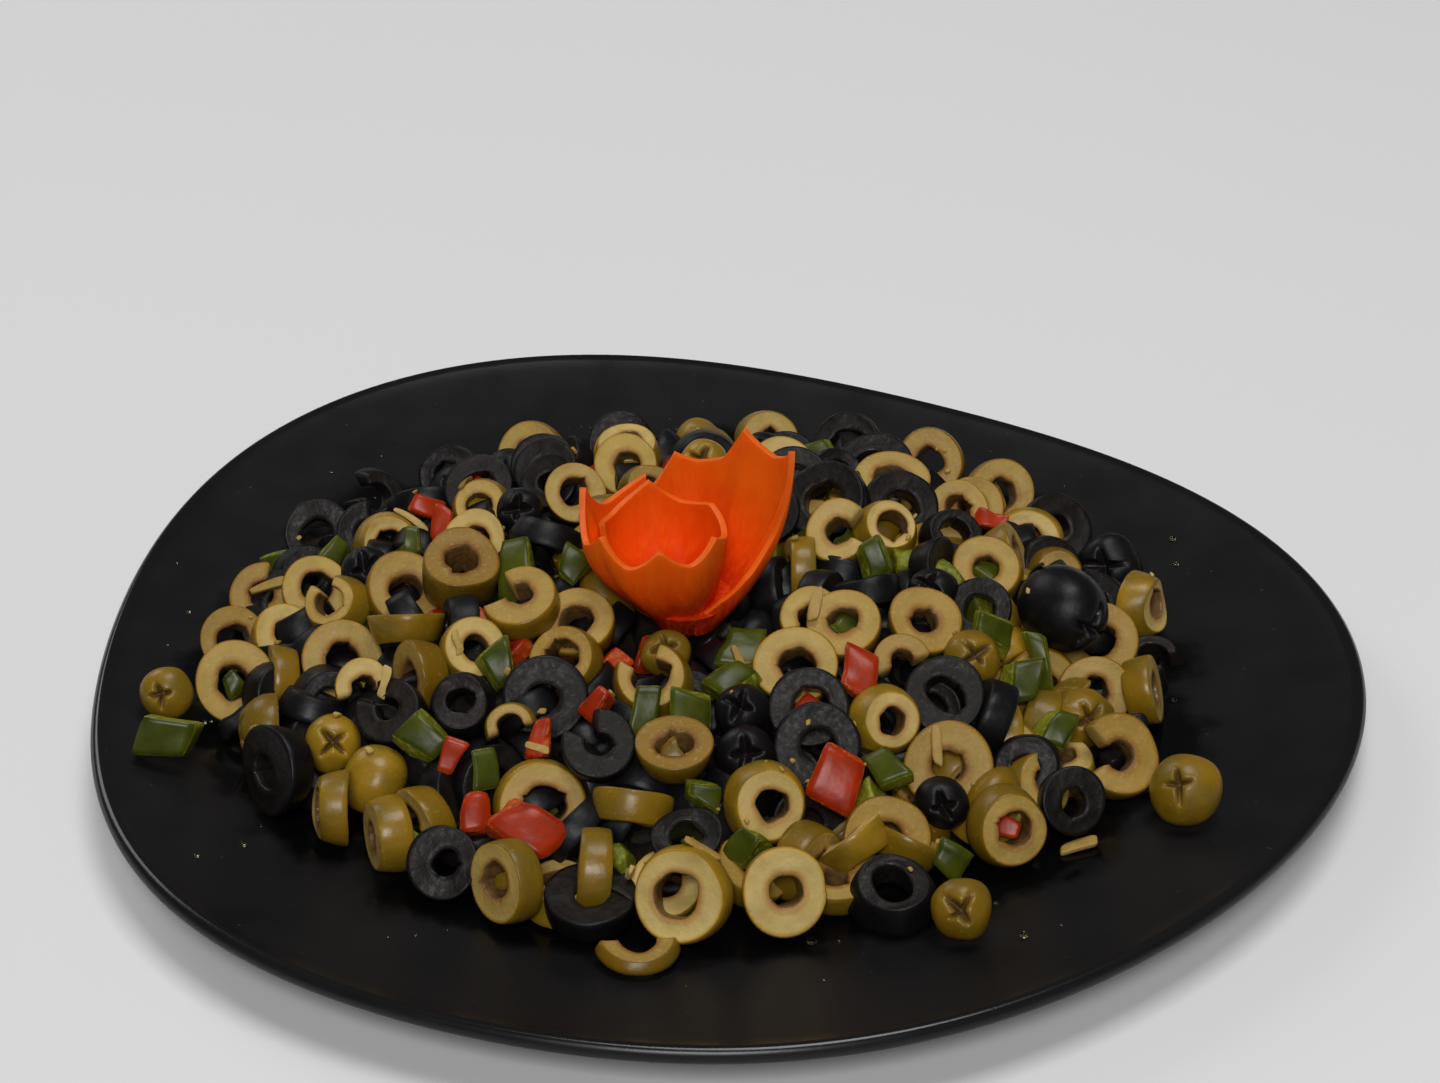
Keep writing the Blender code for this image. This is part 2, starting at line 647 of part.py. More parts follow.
def cup_columns():
    """Foot and rim of each column of the rolled cup."""
    columns = []
    for step in range(CUP_COLUMNS + 1):
        share = step / CUP_COLUMNS
        angle = CUP_START + CUP_SWEEP * share
        across, along = math.cos(math.radians(angle)), math.sin(math.radians(angle))
        foot = CUP_FOOT[0] + (CUP_FOOT[1] - CUP_FOOT[0]) * share
        rim = CUP_RIM[0] + (CUP_RIM[1] - CUP_RIM[0]) * share
        columns.append(((foot * across, foot * along, FOOT_LIFT),
                        (CUP_LEAN + rim * across, rim * along, petal_height(angle))))
    return columns


def sheet_columns():
    """Foot and rim of each column of the tall sheet."""
    columns = []
    for x, y, height in SHEET_RIM:
        scale = SHEET_FOOT / math.hypot(x, y)
        columns.append(((x * scale, y * scale, FOOT_LIFT), (x, y, height)))
    return columns


def make_flower(parts):
    """The rolled cup and the tall sheet, joined at a solid foot."""
    bm = turned([(0, 0), *PLUG_PROFILE, (0, PLUG_PROFILE[-1][1])], PLUG_STEPS)
    flower = make_object("carrot_flower", bm, parts)
    walls = new_collection("carrot_walls")
    for name, columns in (("cup_wall", cup_columns()), ("tall_wall", sheet_columns())):
        join = flower.modifiers.new("join " + name, "BOOLEAN")
        join.operation = "UNION"
        join.object = carrot_sheet(name, columns, walls)
        join.solver = "MANIFOLD"
    apply_joined(flower)
    flower.data.transform(Matrix.Translation(CARROT_BASE))
    remove_collection(walls)
    finish(flower, "carrot")


def main():
    """Clear the scene and build the plate, the salad and the flower."""
    for old in list(bpy.data.objects):
        bpy.data.objects.remove(old, do_unlink=True)
    parts = new_collection("olive_salad")
    cutters = new_collection("cutters")
    make_plate(parts)
    make_salad(parts, cutters)
    make_flower(parts)
    remove_collection(cutters)


main()
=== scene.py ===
# %% [markdown]
# # Olive salad on a black plate, with a carrot flower
#
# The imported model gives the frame: where the plate, the heap and the flower are, in metres.
# This lesson dresses it. Every slice of olive is modelled as what it is, a disc cut from a small
# oval fruit with a hole down its middle, and laid where the frame has it. The pieces of one kind
# are joined as one mesh, because four hundred small objects would be slow to handle.

# %% Load the frame
import math

import bmesh
import bpy
import numpy as np
from mathutils import Matrix, Vector
from mathutils.bvhtree import BVHTree


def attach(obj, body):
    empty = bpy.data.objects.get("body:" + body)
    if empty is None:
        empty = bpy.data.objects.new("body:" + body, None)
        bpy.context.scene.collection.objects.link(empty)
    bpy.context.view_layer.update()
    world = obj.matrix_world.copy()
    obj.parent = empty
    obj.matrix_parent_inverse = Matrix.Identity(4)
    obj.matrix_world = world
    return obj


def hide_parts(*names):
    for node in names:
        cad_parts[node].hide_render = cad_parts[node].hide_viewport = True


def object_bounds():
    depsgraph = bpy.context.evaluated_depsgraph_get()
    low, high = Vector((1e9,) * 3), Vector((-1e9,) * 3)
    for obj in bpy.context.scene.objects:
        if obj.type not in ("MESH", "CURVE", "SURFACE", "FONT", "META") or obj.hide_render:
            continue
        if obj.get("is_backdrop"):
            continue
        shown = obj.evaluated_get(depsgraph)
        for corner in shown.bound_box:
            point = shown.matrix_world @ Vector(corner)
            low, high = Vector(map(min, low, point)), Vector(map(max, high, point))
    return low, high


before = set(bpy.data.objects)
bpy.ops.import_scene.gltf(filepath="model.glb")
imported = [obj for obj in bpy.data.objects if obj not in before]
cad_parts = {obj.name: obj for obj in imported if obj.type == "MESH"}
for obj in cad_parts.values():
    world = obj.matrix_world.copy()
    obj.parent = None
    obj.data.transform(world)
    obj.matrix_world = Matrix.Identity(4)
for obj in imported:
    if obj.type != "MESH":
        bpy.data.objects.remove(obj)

cad_bounds = [list(corner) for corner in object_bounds()]
print("frame:", sorted(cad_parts))
print("box in mm:", [[round(value * 1000, 1) for value in corner] for corner in cad_bounds])

# %% [markdown]
# ## Units, colours, nodes and meshes
#
# Food is measured in millimetres, so the lesson works in millimetres and scales each finished mesh
# once to metres. Colours are picked as hex values, as on a screen, and shaders need them linear:
# one function turns them. Another adds a node, sets it and links it, so that a finish reads as a
# list of what it is made of. Noise is given by the size of its lumps, as they are on the food. Food
# is seldom one colour, so most finishes lay a second colour in patches over the first.

# %% Units and helpers
MM = 0.001
GAP = 0.4  # clearance between neighbours
NOISE_PERIOD = 1.6  # distance between two lumps of noise, in widths of a lump


def linear(code):
    """A hex colour as the linear values that a shader needs."""
    values = [int(code[i:i + 2], 16) / 255 for i in (1, 3, 5)]
    return tuple(v / 12.92 if v <= 0.04045 else ((v + 0.055) / 1.055) ** 2.4 for v in values) + (1.0,)


def lumps(size):
    """Scale of a noise whose lumps are about a size in millimetres across."""
    return 1 / (size * MM * NOISE_PERIOD)


def add(tree, kind, inputs=(), stops=(), **settings):
    """Add a shader node with its settings; each input is a value, a socket or the node that feeds it."""
    node = tree.nodes.new("ShaderNode" + kind)
    for name, value in settings.items():
        setattr(node, name, value)
    for number, (place, code) in enumerate(stops):
        elements = node.color_ramp.elements
        stop = elements[number] if number < len(elements) else elements.new(place)
        stop.position, stop.color = place, linear(code)
    for name, value in dict(inputs).items():
        if isinstance(value, bpy.types.Node):
            value = next(output for output in value.outputs if output.enabled)
        if isinstance(value, bpy.types.NodeSocket):
            tree.links.new(value, node.inputs[name])
        else:
            node.inputs[name].default_value = value
    return node


def patched(tree, under, code, noise, start, stop, most=1.0):
    """Lay a second colour over a first where a noise is high: none at its start, the most at its stop."""
    amount = add(tree, "MapRange", {"Value": noise, "From Min": start, "From Max": stop, "To Max": most})
    return add(tree, "Mix", {0: amount, 6: under, 7: linear(code)}, data_type="RGBA")


def material(name, finish, *details):
    """A material whose finish says what goes into each socket of its one shader."""
    made = bpy.data.materials.new(name)
    made.use_nodes = True
    tree = made.node_tree
    tree.nodes.clear()
    place = add(tree, "TexCoord").outputs["Object"]
    shader = add(tree, "BsdfPrincipled", finish(tree, place, *details))
    add(tree, "OutputMaterial", {"Surface": shader})
    return made


def in_scene(name, data):
    """Put a mesh, a lamp or a camera in the scene as an object."""
    made = bpy.data.objects.new(name, data)
    bpy.context.scene.collection.objects.link(made)
    return made


def mesh_object(name, points, faces):
    """A smooth mesh in the scene, from points and faces."""
    mesh = bpy.data.meshes.new(name)
    mesh.from_pydata(points, [], faces)
    mesh.shade_smooth()
    return in_scene(name, mesh)


def carry(mesh, **layers):
    """Let each point of a mesh carry numbers that its materials read."""
    for name, values in layers.items():
        mesh.attributes.new(name, "FLOAT", "POINT").data.foreach_set("value", values)


print("one millimetre is", MM, "m; lumps of 1 mm need a noise scale of", round(lumps(1)))

# %% [markdown]
# ## The surfaces everything lies on
#
# The plate is a round dish drawn out to a pebble outline, and the salad is a low mound on it. Both
# are formulas, the same ones that the solids follow, so a piece can ask how high the plate or the
# mound is at any point. A formula was chosen over measuring a mesh because it also tells a falling
# drop or a slice how far it is from the rim.

# %% Plate and mound
PLATE_RADIUS = 145.0
PLATE_CENTRE = (-17.0, -21.2)
PLATE_SWELLS = ((1, 23.2, 63.0), (2, 3.8, -16.0), (3, 5.9, 0.0), (4, 3.5, 21.0))  # lobes, mm, degrees
PLATE_THICKNESS = 4.6
WELL_HEIGHT = 8.0
RIM_HEIGHT = 16.5
RIM_WIDTH = 3.6
RISE_WIDTH = 56.0
LIP_INNER_DROP = 1.0
FOOT_RADIUS = 92.0
DRAW_ROUNDS = 8
MOUND_CENTRE = (-9.0, 0.5)
MOUND_REACH = (114.0, 99.5)
MOUND_HEIGHT = 36.0
MOUND_FULLNESS = 0.6
NEST_CENTRE = (-10.0, -8.0)  # where the flower presses the mound in
NEST_REACH = 30.0
NEST_DEPTH = 9.0


def pebble_radius(angle):
    """Radius of the plate's outline at an angle in radians."""
    radius = PLATE_RADIUS + 0 * angle
    for lobes, swell, way in PLATE_SWELLS:
        radius = radius + swell * np.cos(lobes * (angle - math.radians(way)))
    return radius


def draw_out(radius, angle):
    """Move the round dish to the pebble outline: all of the swell at the rim, none at the middle."""
    share = radius / PLATE_RADIUS
    return radius + (pebble_radius(angle) - PLATE_RADIUS) * share * share * (3 - 2 * share)


def dish_height(radius):
    """Height of the round dish's upper face: a flat well that rises towards the rim."""
    inset = PLATE_RADIUS - RIM_WIDTH - radius
    rise = np.clip(1 - inset / RISE_WIDTH, 0, 1)
    return WELL_HEIGHT + (RIM_HEIGHT - LIP_INNER_DROP - WELL_HEIGHT) * rise * rise


def plate_top(x, y):
    """Height of the plate's upper face below a point."""
    angle = np.arctan2(y - PLATE_CENTRE[1], x - PLATE_CENTRE[0])
    distance = np.hypot(x - PLATE_CENTRE[0], y - PLATE_CENTRE[1])
    radius = distance
    for _ in range(DRAW_ROUNDS):
        radius = radius + distance - draw_out(radius, angle)
    return dish_height(radius)


def mound_share(x, y):
    """0 at the middle of the mound and 1 at its edge."""
    return np.hypot((x - MOUND_CENTRE[0]) / MOUND_REACH[0], (y - MOUND_CENTRE[1]) / MOUND_REACH[1])


def mound_top(x, y):
    """Height that the tops of the pieces follow."""
    fullness = np.clip(1 - mound_share(x, y) ** 2, 0, 1) ** MOUND_FULLNESS
    to_nest = np.hypot(x - NEST_CENTRE[0], y - NEST_CENTRE[1])
    return WELL_HEIGHT + MOUND_HEIGHT * fullness - NEST_DEPTH * np.exp(-(to_nest / NEST_REACH) ** 2)


def mound_point(share, angle):
    """Place at a share of the mound's reach, in a direction in radians."""
    return (MOUND_CENTRE[0] + MOUND_REACH[0] * share * math.cos(angle),
            MOUND_CENTRE[1] + MOUND_REACH[1] * share * math.sin(angle))


print("mound stands", MOUND_HEIGHT, "mm above the well, over a plate", 2 * PLATE_RADIUS, "mm across")

# %% [markdown]
# ## The plate
#
# The real plate is stoneware: pressed clay with a matt black glaze, a thin rounded lip and a plain
# flat foot. It could be made by a Screw modifier on half an outline, but the pebble shape isn't
# round, so the profile is spun first and each point is then drawn out along its own direction. The
# lip is an arc of its own, because that is where the light catches.

# %% Plate mesh
PLATE_STEPS = 240
RISE_STEPS = 14
WELL_STEPS = 14
LIP_STEPS = 8
FOOT_ROUND = 1.2
LIP_SQUARENESS = 0.8
UNDER_LIP = 0.8  # how far the lip's underside lies above that of the plate beside it
LIP_NECK = 1.0
FOOT_NECK = 2.0
WET_REACH = 0.28  # how far the brine creeps from the heap, as a share of the heap's reach


def plate_profile():
    """Radius and height round the plate's section, from the middle of its top to that of its foot."""
    edge = PLATE_RADIUS
    well = edge - RIM_WIDTH - RISE_WIDTH
    inner = [well * step / WELL_STEPS for step in range(WELL_STEPS)]
    inner += [well + RISE_WIDTH * step / RISE_STEPS for step in range(RISE_STEPS + 1)]
    points = [(radius, dish_height(radius)) for radius in inner]
    low = dish_height(inner[-1]) - PLATE_THICKNESS + UNDER_LIP
    middle = (RIM_HEIGHT + low) / 2
    for step in range(1, LIP_STEPS + 1):
        turn = math.pi * step / LIP_STEPS
        out = edge - RIM_WIDTH + RIM_WIDTH * math.sin(turn) ** LIP_SQUARENESS
        up = middle + (RIM_HEIGHT - middle) * math.cos(turn)
        points.append((out if step < LIP_STEPS else edge - RIM_WIDTH, up))
    under = [radius for radius in inner[::-1]
             if FOOT_RADIUS + FOOT_NECK < radius < edge - RIM_WIDTH - LIP_NECK]
    points += [(radius, dish_height(radius) - PLATE_THICKNESS) for radius in under]
    neck = dish_height(FOOT_RADIUS) - PLATE_THICKNESS
    points += [(FOOT_RADIUS, neck), (FOOT_RADIUS, FOOT_ROUND), (FOOT_RADIUS - FOOT_ROUND, 0.0), (0.0, 0.0)]
    return points


def spun(profile, steps):
    """Points and faces of a profile turned about Z, closed at its two ends on the axis."""
    angles = np.arange(steps) * 2 * math.pi / steps
    across, along = np.cos(angles), np.sin(angles)
    rings = [np.stack((across * r, along * r, 0 * angles + z), axis=1) for r, z in profile[1:-1]]
    starts = [ring * steps for ring in range(len(rings))]
    pairs = [(i, (i + 1) % steps) for i in range(steps)]
    faces = [(a + i, b + i, b + j, a + j) for a, b in zip(starts, starts[1:]) for i, j in pairs]
    top = len(rings) * steps
    for i, j in pairs:
        faces += [(i, j, top), (starts[-1] + j, starts[-1] + i, top + 1)]
    return np.concatenate((*rings, ((0, 0, profile[0][1]), (0, 0, profile[-1][1])))), faces


def make_plate():
    """The plate's mesh in metres, with how wet each point is."""
    points, faces = spun(plate_profile(), PLATE_STEPS)
    angle = np.arctan2(points[:, 1], points[:, 0])
    radius = draw_out(np.hypot(points[:, 0], points[:, 1]), angle)
    points[:, 0] = PLATE_CENTRE[0] + radius * np.cos(angle)
    points[:, 1] = PLATE_CENTRE[1] + radius * np.sin(angle)
    plate = mesh_object("stoneware_plate", points * MM, faces)
    beyond = mound_share(points[:, 0], points[:, 1]) - 1
    carry(plate.data, wet=np.clip(1 - beyond / WET_REACH, 0, 1))
    return plate


plate = make_plate()
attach(plate, "root")
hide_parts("plate")
print("plate:", len(plate.data.polygons), "faces")

# %% [markdown]
# Matt black glaze is glass with fine crystals in it: it keeps a wide, weak shine instead of a mirror.
# Near the salad a thin film of brine fills the crystals, and there the shine is sharp. The roughness
# is therefore driven by how wet a point is, broken up by noise so that the film has an uneven edge.
# Along the lip the glaze is rubbed smooth, and a line of light runs round the plate.

# %% Plate material: stoneware, glazed matt black
LIP_SHINE_DEPTH = 1.6


def matt_black_glaze(tree, place):
    """Stoneware under a matt black glaze: near-black, with a soft wide shine, glossier at the lip."""
    wet = add(tree, "Attribute", attribute_name="wet").outputs["Fac"]
    patches = add(tree, "TexNoise", {"Vector": place, "Scale": lumps(14), "Detail": 4.0})
    soaked = add(tree, "Math", {0: wet, 1: patches}, operation="MULTIPLY")
    film = add(tree, "MapRange", {"Value": soaked, "From Min": 0.32, "From Max": 0.44})
    clouds = add(tree, "TexNoise", {"Vector": place, "Scale": lumps(40)})
    dry = add(tree, "ValToRGB", {"Fac": clouds}, stops=((0.3, "#151415"), (0.7, "#1B1A1B")))
    dust = add(tree, "TexNoise", {"Vector": place, "Scale": lumps(0.9), "Detail": 1.0})
    specked = patched(tree, dry, "#3A3836", dust, 0.77, 0.81)
    colour = add(tree, "Mix", {0: film, 6: specked, 7: linear("#0A0909")}, data_type="RGBA")
    smears = add(tree, "TexNoise", {"Vector": place, "Scale": lumps(9), "Detail": 3.0})
    dry_rough = add(tree, "MapRange", {"Value": smears, "From Min": 0.3, "From Max": 0.7,
                                       "To Min": 0.34, "To Max": 0.46})
    height = add(tree, "SeparateXYZ", {"Vector": place}).outputs["Z"]
    lip = add(tree, "MapRange", {"Value": height, "From Min": (RIM_HEIGHT - LIP_SHINE_DEPTH) * MM,
                                 "From Max": RIM_HEIGHT * MM})
    worn = add(tree, "Mix", {0: lip, 2: dry_rough, 3: 0.1})
    shine = add(tree, "Mix", {0: lip, 2: 0.28, 3: 0.7})
    rough = add(tree, "Mix", {0: film, 2: worn, 3: 0.14})
    crystals = add(tree, "TexNoise", {"Vector": place, "Scale": lumps(0.5)})
    fine = add(tree, "Bump", {"Height": crystals, "Distance": 0.010 * MM})
    uneven = add(tree, "Bump", {"Height": smears, "Distance": 0.04 * MM, "Normal": fine})
    return {"Base Color": colour, "Roughness": rough, "Normal": uneven, "IOR": 1.45,
            "Specular IOR Level": shine}


plate.data.materials.append(material("matt_black_glaze", matt_black_glaze))
print("material:", plate.data.materials[0].name)

# %% [markdown]
# ## Where each piece of the salad lies
#
# A cook's heap looks random but is built in courses: pieces slide down until those below hold
# them. Real heaps can be made with a rigid-body simulation, but that gives no say in what shows.
# Here the kinds are listed in courses from the rim of the heap to its middle, spaced by size, and
# a short settling then pushes overlapping pieces apart, with a few balls standing for each piece.

# %% Sizes of olives and vegetables
SINK_SHARE = 0.8  # how much of a piece's height lies below the mound's surface
WHOLE_SINK = 0.3
SLICE_THICKNESS = 7.0
THICK_SLICE = 11.0
SLIVER_THICKNESS = 3.5
HOLE_SHARE = 0.40
SWEEPS = {"ring": 360.0, "thick": 360.0, "hook": 275.0, "half": 180.0, "sliver": 130.0}
END_HEIGHT = 0.5
WHOLE_LENGTH = 1.2
BLOCKS = {"dice": (1.0, 0.85, 0.72), "strip": (1.0, 0.42, 0.3), "bit": (1.0, 0.6, 0.45)}
BLOCK_SKEW = 0.12
CARROT_BASE = (-11.0, -2.0, 27.0)
FLOWER_FOOT = 9.8
FLOWER_REACH = (28.0, 21.0)
FLOWER_FLARE = 24.0

print("slices are", SLICE_THICKNESS, "mm thick, with a hole", HOLE_SHARE, "of their width")

# %% [markdown]
# The salad as laid: courses round the mound, each at a share of its reach. A course has four
# quarters, from the left to the front, on to the right, to the back and to the left again. A piece
# is its colour, shape and size across, and its pose where that is not the usual one. A list of words
# was chosen over a list of places, because it reads like the salad and stays right when a piece
# changes its size.

# %% The courses
COURSES = (
    (0.95, (
        "green ring 20, black bit 8, green end 18 left, black ring 22 left, green ring 18 left,"
        "green ring 18 left, black ring 17, green ring 19 left, black ring 21 flat, green ring 22",
        "green ring 20, black ring 21 flat, pepper dice 8, green ring 19, black ring 16,"
        "green hook 20, black bit 8, green ring 17 right, black hook 16 flat",
        "green ring 18 right, black end 17, black ring 19, green ring 18, green ring 19,"
        "black ring 19, green ring 16, green end 14",
        "black ring 18, green ring 18, black ring 17, black hook 17, black ring 18, pepper dice 9,"
        "green hook 17, green ring 17",
    )),
    (0.84, (
        "green ring 18 left, black ring 18 back, green end 14, green end 16, green half 18 left,"
        "red dice 9, red dice 14, green half 20 edge, black ring 16 flat",
        "pepper dice 8, green half 20 edge, green ring 20, black end 13, green end 15, black hook 17,"
        "pepper dice 10, green end 15, green hook 18, green ring 20",
        "black ring 18, green half 15, green ring 18, green ring 17, black bit 9, black ring 21 flat,"
        "pepper dice 9, black end 14, green ring 17",
        "green ring 18, black ring 18, pepper bit 9, black ring 20 back, black hook 17,"
        "pepper dice 8, green ring 17, green ring 16",
    )),
    (0.73, (
        "green ring 20, green half 14, black hook 16, pepper dice 11, red bit 9, pepper bit 9,"
        "green ring 22, green half 19 back, pepper dice 8",
        "green ring 20, red dice 13, pepper dice 9, green ring 21, black ring 18 left,"
        "pepper dice 11, pepper strip 13, black whole 20 front",
        "black ring 17 back, green ring 19 right, red bit 8, green ring 17, green hook 20 flat,"
        "black hook 16, green half 17, black ring 19",
        "green ring 18 flat, black ring 17, black ring 18, red bit 8, green ring 18, black end 12,"
        "green hook 17",
    )),
    (0.62, (
        "green ring 19 back, green ring 18 left, black ring 16, green half 13, red bit 9,"
        "black hook 17, green ring 18 flat",
        "black end 14, black ring 20, green ring 18, black ring 19, green end 14, pepper dice 10,"
        "black ring 16",
        "green ring 18, black ring 16, black ring 20, pepper bit 8, black hook 17, pepper dice 7,"
        "green end 13",
        "green ring 17, black ring 15, green ring 17, red bit 8, pepper bit 8, green ring 20",
    )),
    (0.50, (
        "black ring 15 left, green ring 16, pepper dice 10, black ring 20, red dice 8,"
        "pepper strip 14, pepper dice 9",
        "black end 13, black ring 19, red bit 12, green half 14, green ring 18, black end 12",
        "black ring 17 right, green ring 17, black ring 22, green ring 16, red bit 8",
        "green half 15, green ring 16, black end 12, green ring 16, green thick 19 flat",
    )),
    (0.37, (
        "green hook 18 flat, green ring 18, green hook 20",
        "pepper dice 11, green ring 20, green ring 18, black ring 17 back",
        "pepper dice 9, green hook 17, black ring 17, pepper dice 9",
        "green half 14, green half 12 edge, black ring 20 back, pepper strip 19",
    )),
    (0.26, (
        "green ring 19, green end 12",
        "pepper dice 10, green half 16",
        "green half 17 edge, green hook 16",
        "green hook 15, pepper dice 8",
    )),
)
COURSE_START = 184.4  # direction in which the first piece of a course lies, in degrees
# Poses: turn (degrees, the way the cut face looks: 0 is to the front and 90 to the right) and lean
# (degrees, 0 stands on edge and 90 lies flat). The usual lean follows the slope of the mound.
POSES = {"flat": (0.0, 78.0), "left": (-62.0, 15.0), "right": (62.0, 15.0), "edge": (80.0, 8.0),
         "back": (180.0, 50.0), "front": (22.0, 5.0)}
SPINS = {"sliver": 205.0, "half": 15.0}  # turn about its own axis, where not by chance
LEAN_MIDDLE = 66.0
LEAN_EDGE = 36.0
TURN_SCATTER = 24.0
LEAN_SCATTER = 9.0
SHARE_SCATTER = 0.02
# Pieces that lie apart on the plate: x, y and the piece.
APART_PIECES = {
    "olive_sliver_front": (-20.0, -108.0, "green sliver 20 flat"),
    "olive_end_front": (49.0, -99.0, "green end 14"),
    "olive_end_right": (101.0, -58.0, "green end 17"),
    "olive_end_left": (-131.0, -21.0, "green end 13"),
    "pepper_piece_left": (-129.0, -38.0, "pepper dice 12"),
}
APART_MARGIN = 1.2  # kept further from the neighbours than pieces of the heap
print(len(COURSES), "courses and", len(APART_PIECES), "pieces apart")

# %% [markdown]
# A piece stands at its place in its course, leans with the slope of the mound and is turned about
# its own axis by chance. For the settling a few balls take its place: a ring of them for a slice or
# an end, three in a row for a whole olive, some along the edges of a dice. Exact meshes would settle
# more closely, but balls tell at once how far two pieces overlap.

# %% A piece
SEED = 7
BALLS_ROUND = 12  # balls that stand for a whole ring
LEAST_BALLS = 4
END_BALL = 0.24
END_BALL_RISE = 0.8
WHOLE_BALL = 0.95


class Piece:
    """One slice, end or dice: its shape, its place and the balls that stand for it as it settles."""

    def __init__(self, words, x, y, draw):
        self.colour, self.shape, across, *pose = words.split()
        self.across = float(across)
        share = float(mound_share(x, y))
        usual = (0.0, LEAN_MIDDLE + (LEAN_EDGE - LEAN_MIDDLE) * share)
        turn, lean = POSES[pose[0]] if pose else usual
        turn += draw.uniform(-TURN_SCATTER, TURN_SCATTER)
        lean += draw.uniform(-LEAN_SCATTER, LEAN_SCATTER)
        spin = SPINS.get(self.shape, draw.uniform(0, 360))
        self.axes = np.array(
            Matrix.Rotation(math.radians(turn), 3, "Z")
            @ Matrix.Rotation(math.radians(90 - lean), 3, "X")
            @ Matrix.Rotation(math.radians(spin), 3, "Z")
        )
        self.balls, self.ball_radius = self.settling_balls()
        rise = max(0.0, -float((self.balls @ self.axes.T)[:, 2].min())) + self.ball_radius
        low = float(plate_top(x, y)) + GAP + rise
        sink = WHOLE_SINK if self.shape == "whole" else SINK_SHARE
        self.centre = np.array((x, y, max(low, float(mound_top(x, y)) - sink * rise)))
        self.apart = share > 1

    def thickness(self):
        """Thickness of a slice."""
        return {"thick": THICK_SLICE, "sliver": SLIVER_THICKNESS}.get(self.shape, SLICE_THICKNESS)

    def settling_balls(self):
        """Centres and radius of balls that fill the shape, about its own centre."""
        radius = self.across / 2
        if self.shape in SWEEPS:
            hole = radius * HOLE_SHARE
            ball = min(radius - hole, self.thickness()) / 2
            sweep = SWEEPS[self.shape]
            count = max(LEAST_BALLS, round(BALLS_ROUND * sweep / 360))
            angles = np.arange(count) * math.radians(sweep) / (count - (sweep < 360))
            middle = (radius + hole) / 2
            flat = np.stack((np.cos(angles) * middle, np.sin(angles) * middle, 0 * angles), axis=1)
            spare = self.thickness() / 2 - ball
            if spare > 1:
                flat = np.concatenate((flat + (0, 0, spare), flat - (0, 0, spare)))
            self.middle = flat.mean(axis=0)
            return flat - self.middle, ball
        if self.shape == "end":
            ball = self.across * END_BALL  # six in a ring and one on top
            angles = np.arange(6) * math.pi / 3
            low = np.stack((np.cos(angles), np.sin(angles), 0 * angles), axis=1) * (radius - ball)
            return np.concatenate((low, ((0, 0, ball * END_BALL_RISE),))), ball
        if self.shape == "whole":
            step = self.across * (WHOLE_LENGTH - 1)
            return np.array(((0, 0, -step), (0, 0, 0), (0, 0, step))), radius * WHOLE_BALL
        sides = np.array(BLOCKS[self.shape]) * self.across
        ball = sides.min() / 2
        corners = np.array([(a, b, c) for a in (-1, 0, 1) for b in (-1, 1) for c in (-1, 1)])
        return corners * np.maximum(sides / 2 - ball, 0), ball


def lay_courses(draw):
    """The pieces of the heap, each taking room round its course in proportion to its size."""
    pieces = []
    for share, quarters in COURSES:
        for quarter, row in enumerate(quarters):
            row = row.split(",")
            sizes = [float(words.split()[2]) for words in row]
            taken = 0.0
            for words, size in zip(row, sizes):
                angle = math.radians(COURSE_START + 90 * (quarter + (taken + size / 2) / sum(sizes)))
                reach = share + draw.uniform(-SHARE_SCATTER, SHARE_SCATTER)
                pieces.append(Piece(words, *mound_point(reach, angle), draw))
                taken += size
    return pieces


print("courses hold", sum(len(row.split(",")) for _, quarters in COURSES for row in quarters), "pieces")

# %% [markdown]
# Settling takes rounds. In each, balls of different pieces that overlap push each other apart, and
# the plate and the flower push too. A piece moves by the mean of its pushes, turns a little by their
# torque, and is drawn back towards its place, so that the courses keep their order.

# %% Settling
SETTLE_ROUNDS = 60
HOLD_SHARE = 0.03
LEAST_TURN = 1e-6  # radians a round
TURN_LIMIT = 0.06
BALL_INERTIA = 0.4
NEXT_TO_NOTHING = 1e-9  # keeps a division from failing


def settle(pieces, held=0):
    """Push the pieces out of each other, the plate and the flower; the first ones may be held."""
    owner = np.concatenate([np.full(len(piece.balls), i) for i, piece in enumerate(pieces)])
    radii = np.array([piece.ball_radius + APART_MARGIN * piece.apart for piece in pieces])[owner]
    local = np.concatenate([piece.balls for piece in pieces])
    start = np.array([piece.centre for piece in pieces])
    for _ in range(SETTLE_ROUNDS):
        centres = np.array([piece.centre for piece in pieces])
        axes = np.array([piece.axes for piece in pieces])
        arms = np.einsum("nij,nj->ni", axes[owner], local)
        balls = centres[owner] + arms
        push = ball_pushes(balls, radii, owner) + plate_pushes(balls, radii) + flower_pushes(balls, radii)
        touched = np.bincount(owner, np.abs(push).sum(axis=1) > 0, len(pieces))
        shift = sum_by_piece(push, owner, len(pieces)) / np.maximum(touched, 1)[:, None]
        torque = sum_by_piece(np.cross(arms, push), owner, len(pieces))
        inertia = np.bincount(owner, (arms**2).sum(axis=1) + BALL_INERTIA * radii**2, len(pieces))
        spin = np.clip(torque / inertia[:, None], -TURN_LIMIT, TURN_LIMIT)
        for i, piece in enumerate(pieces[held:], held):
            piece.centre = piece.centre + shift[i] + (start[i] - piece.centre) * HOLD_SHARE
            angle = float(np.linalg.norm(spin[i]))
            if angle > LEAST_TURN:
                piece.axes = np.array(Matrix.Rotation(angle, 3, spin[i])) @ piece.axes


def sum_by_piece(values, owner, count):
    """Add up the balls' vectors for each piece."""
    return np.stack([np.bincount(owner, values[:, axis], count) for axis in range(3)], axis=1)


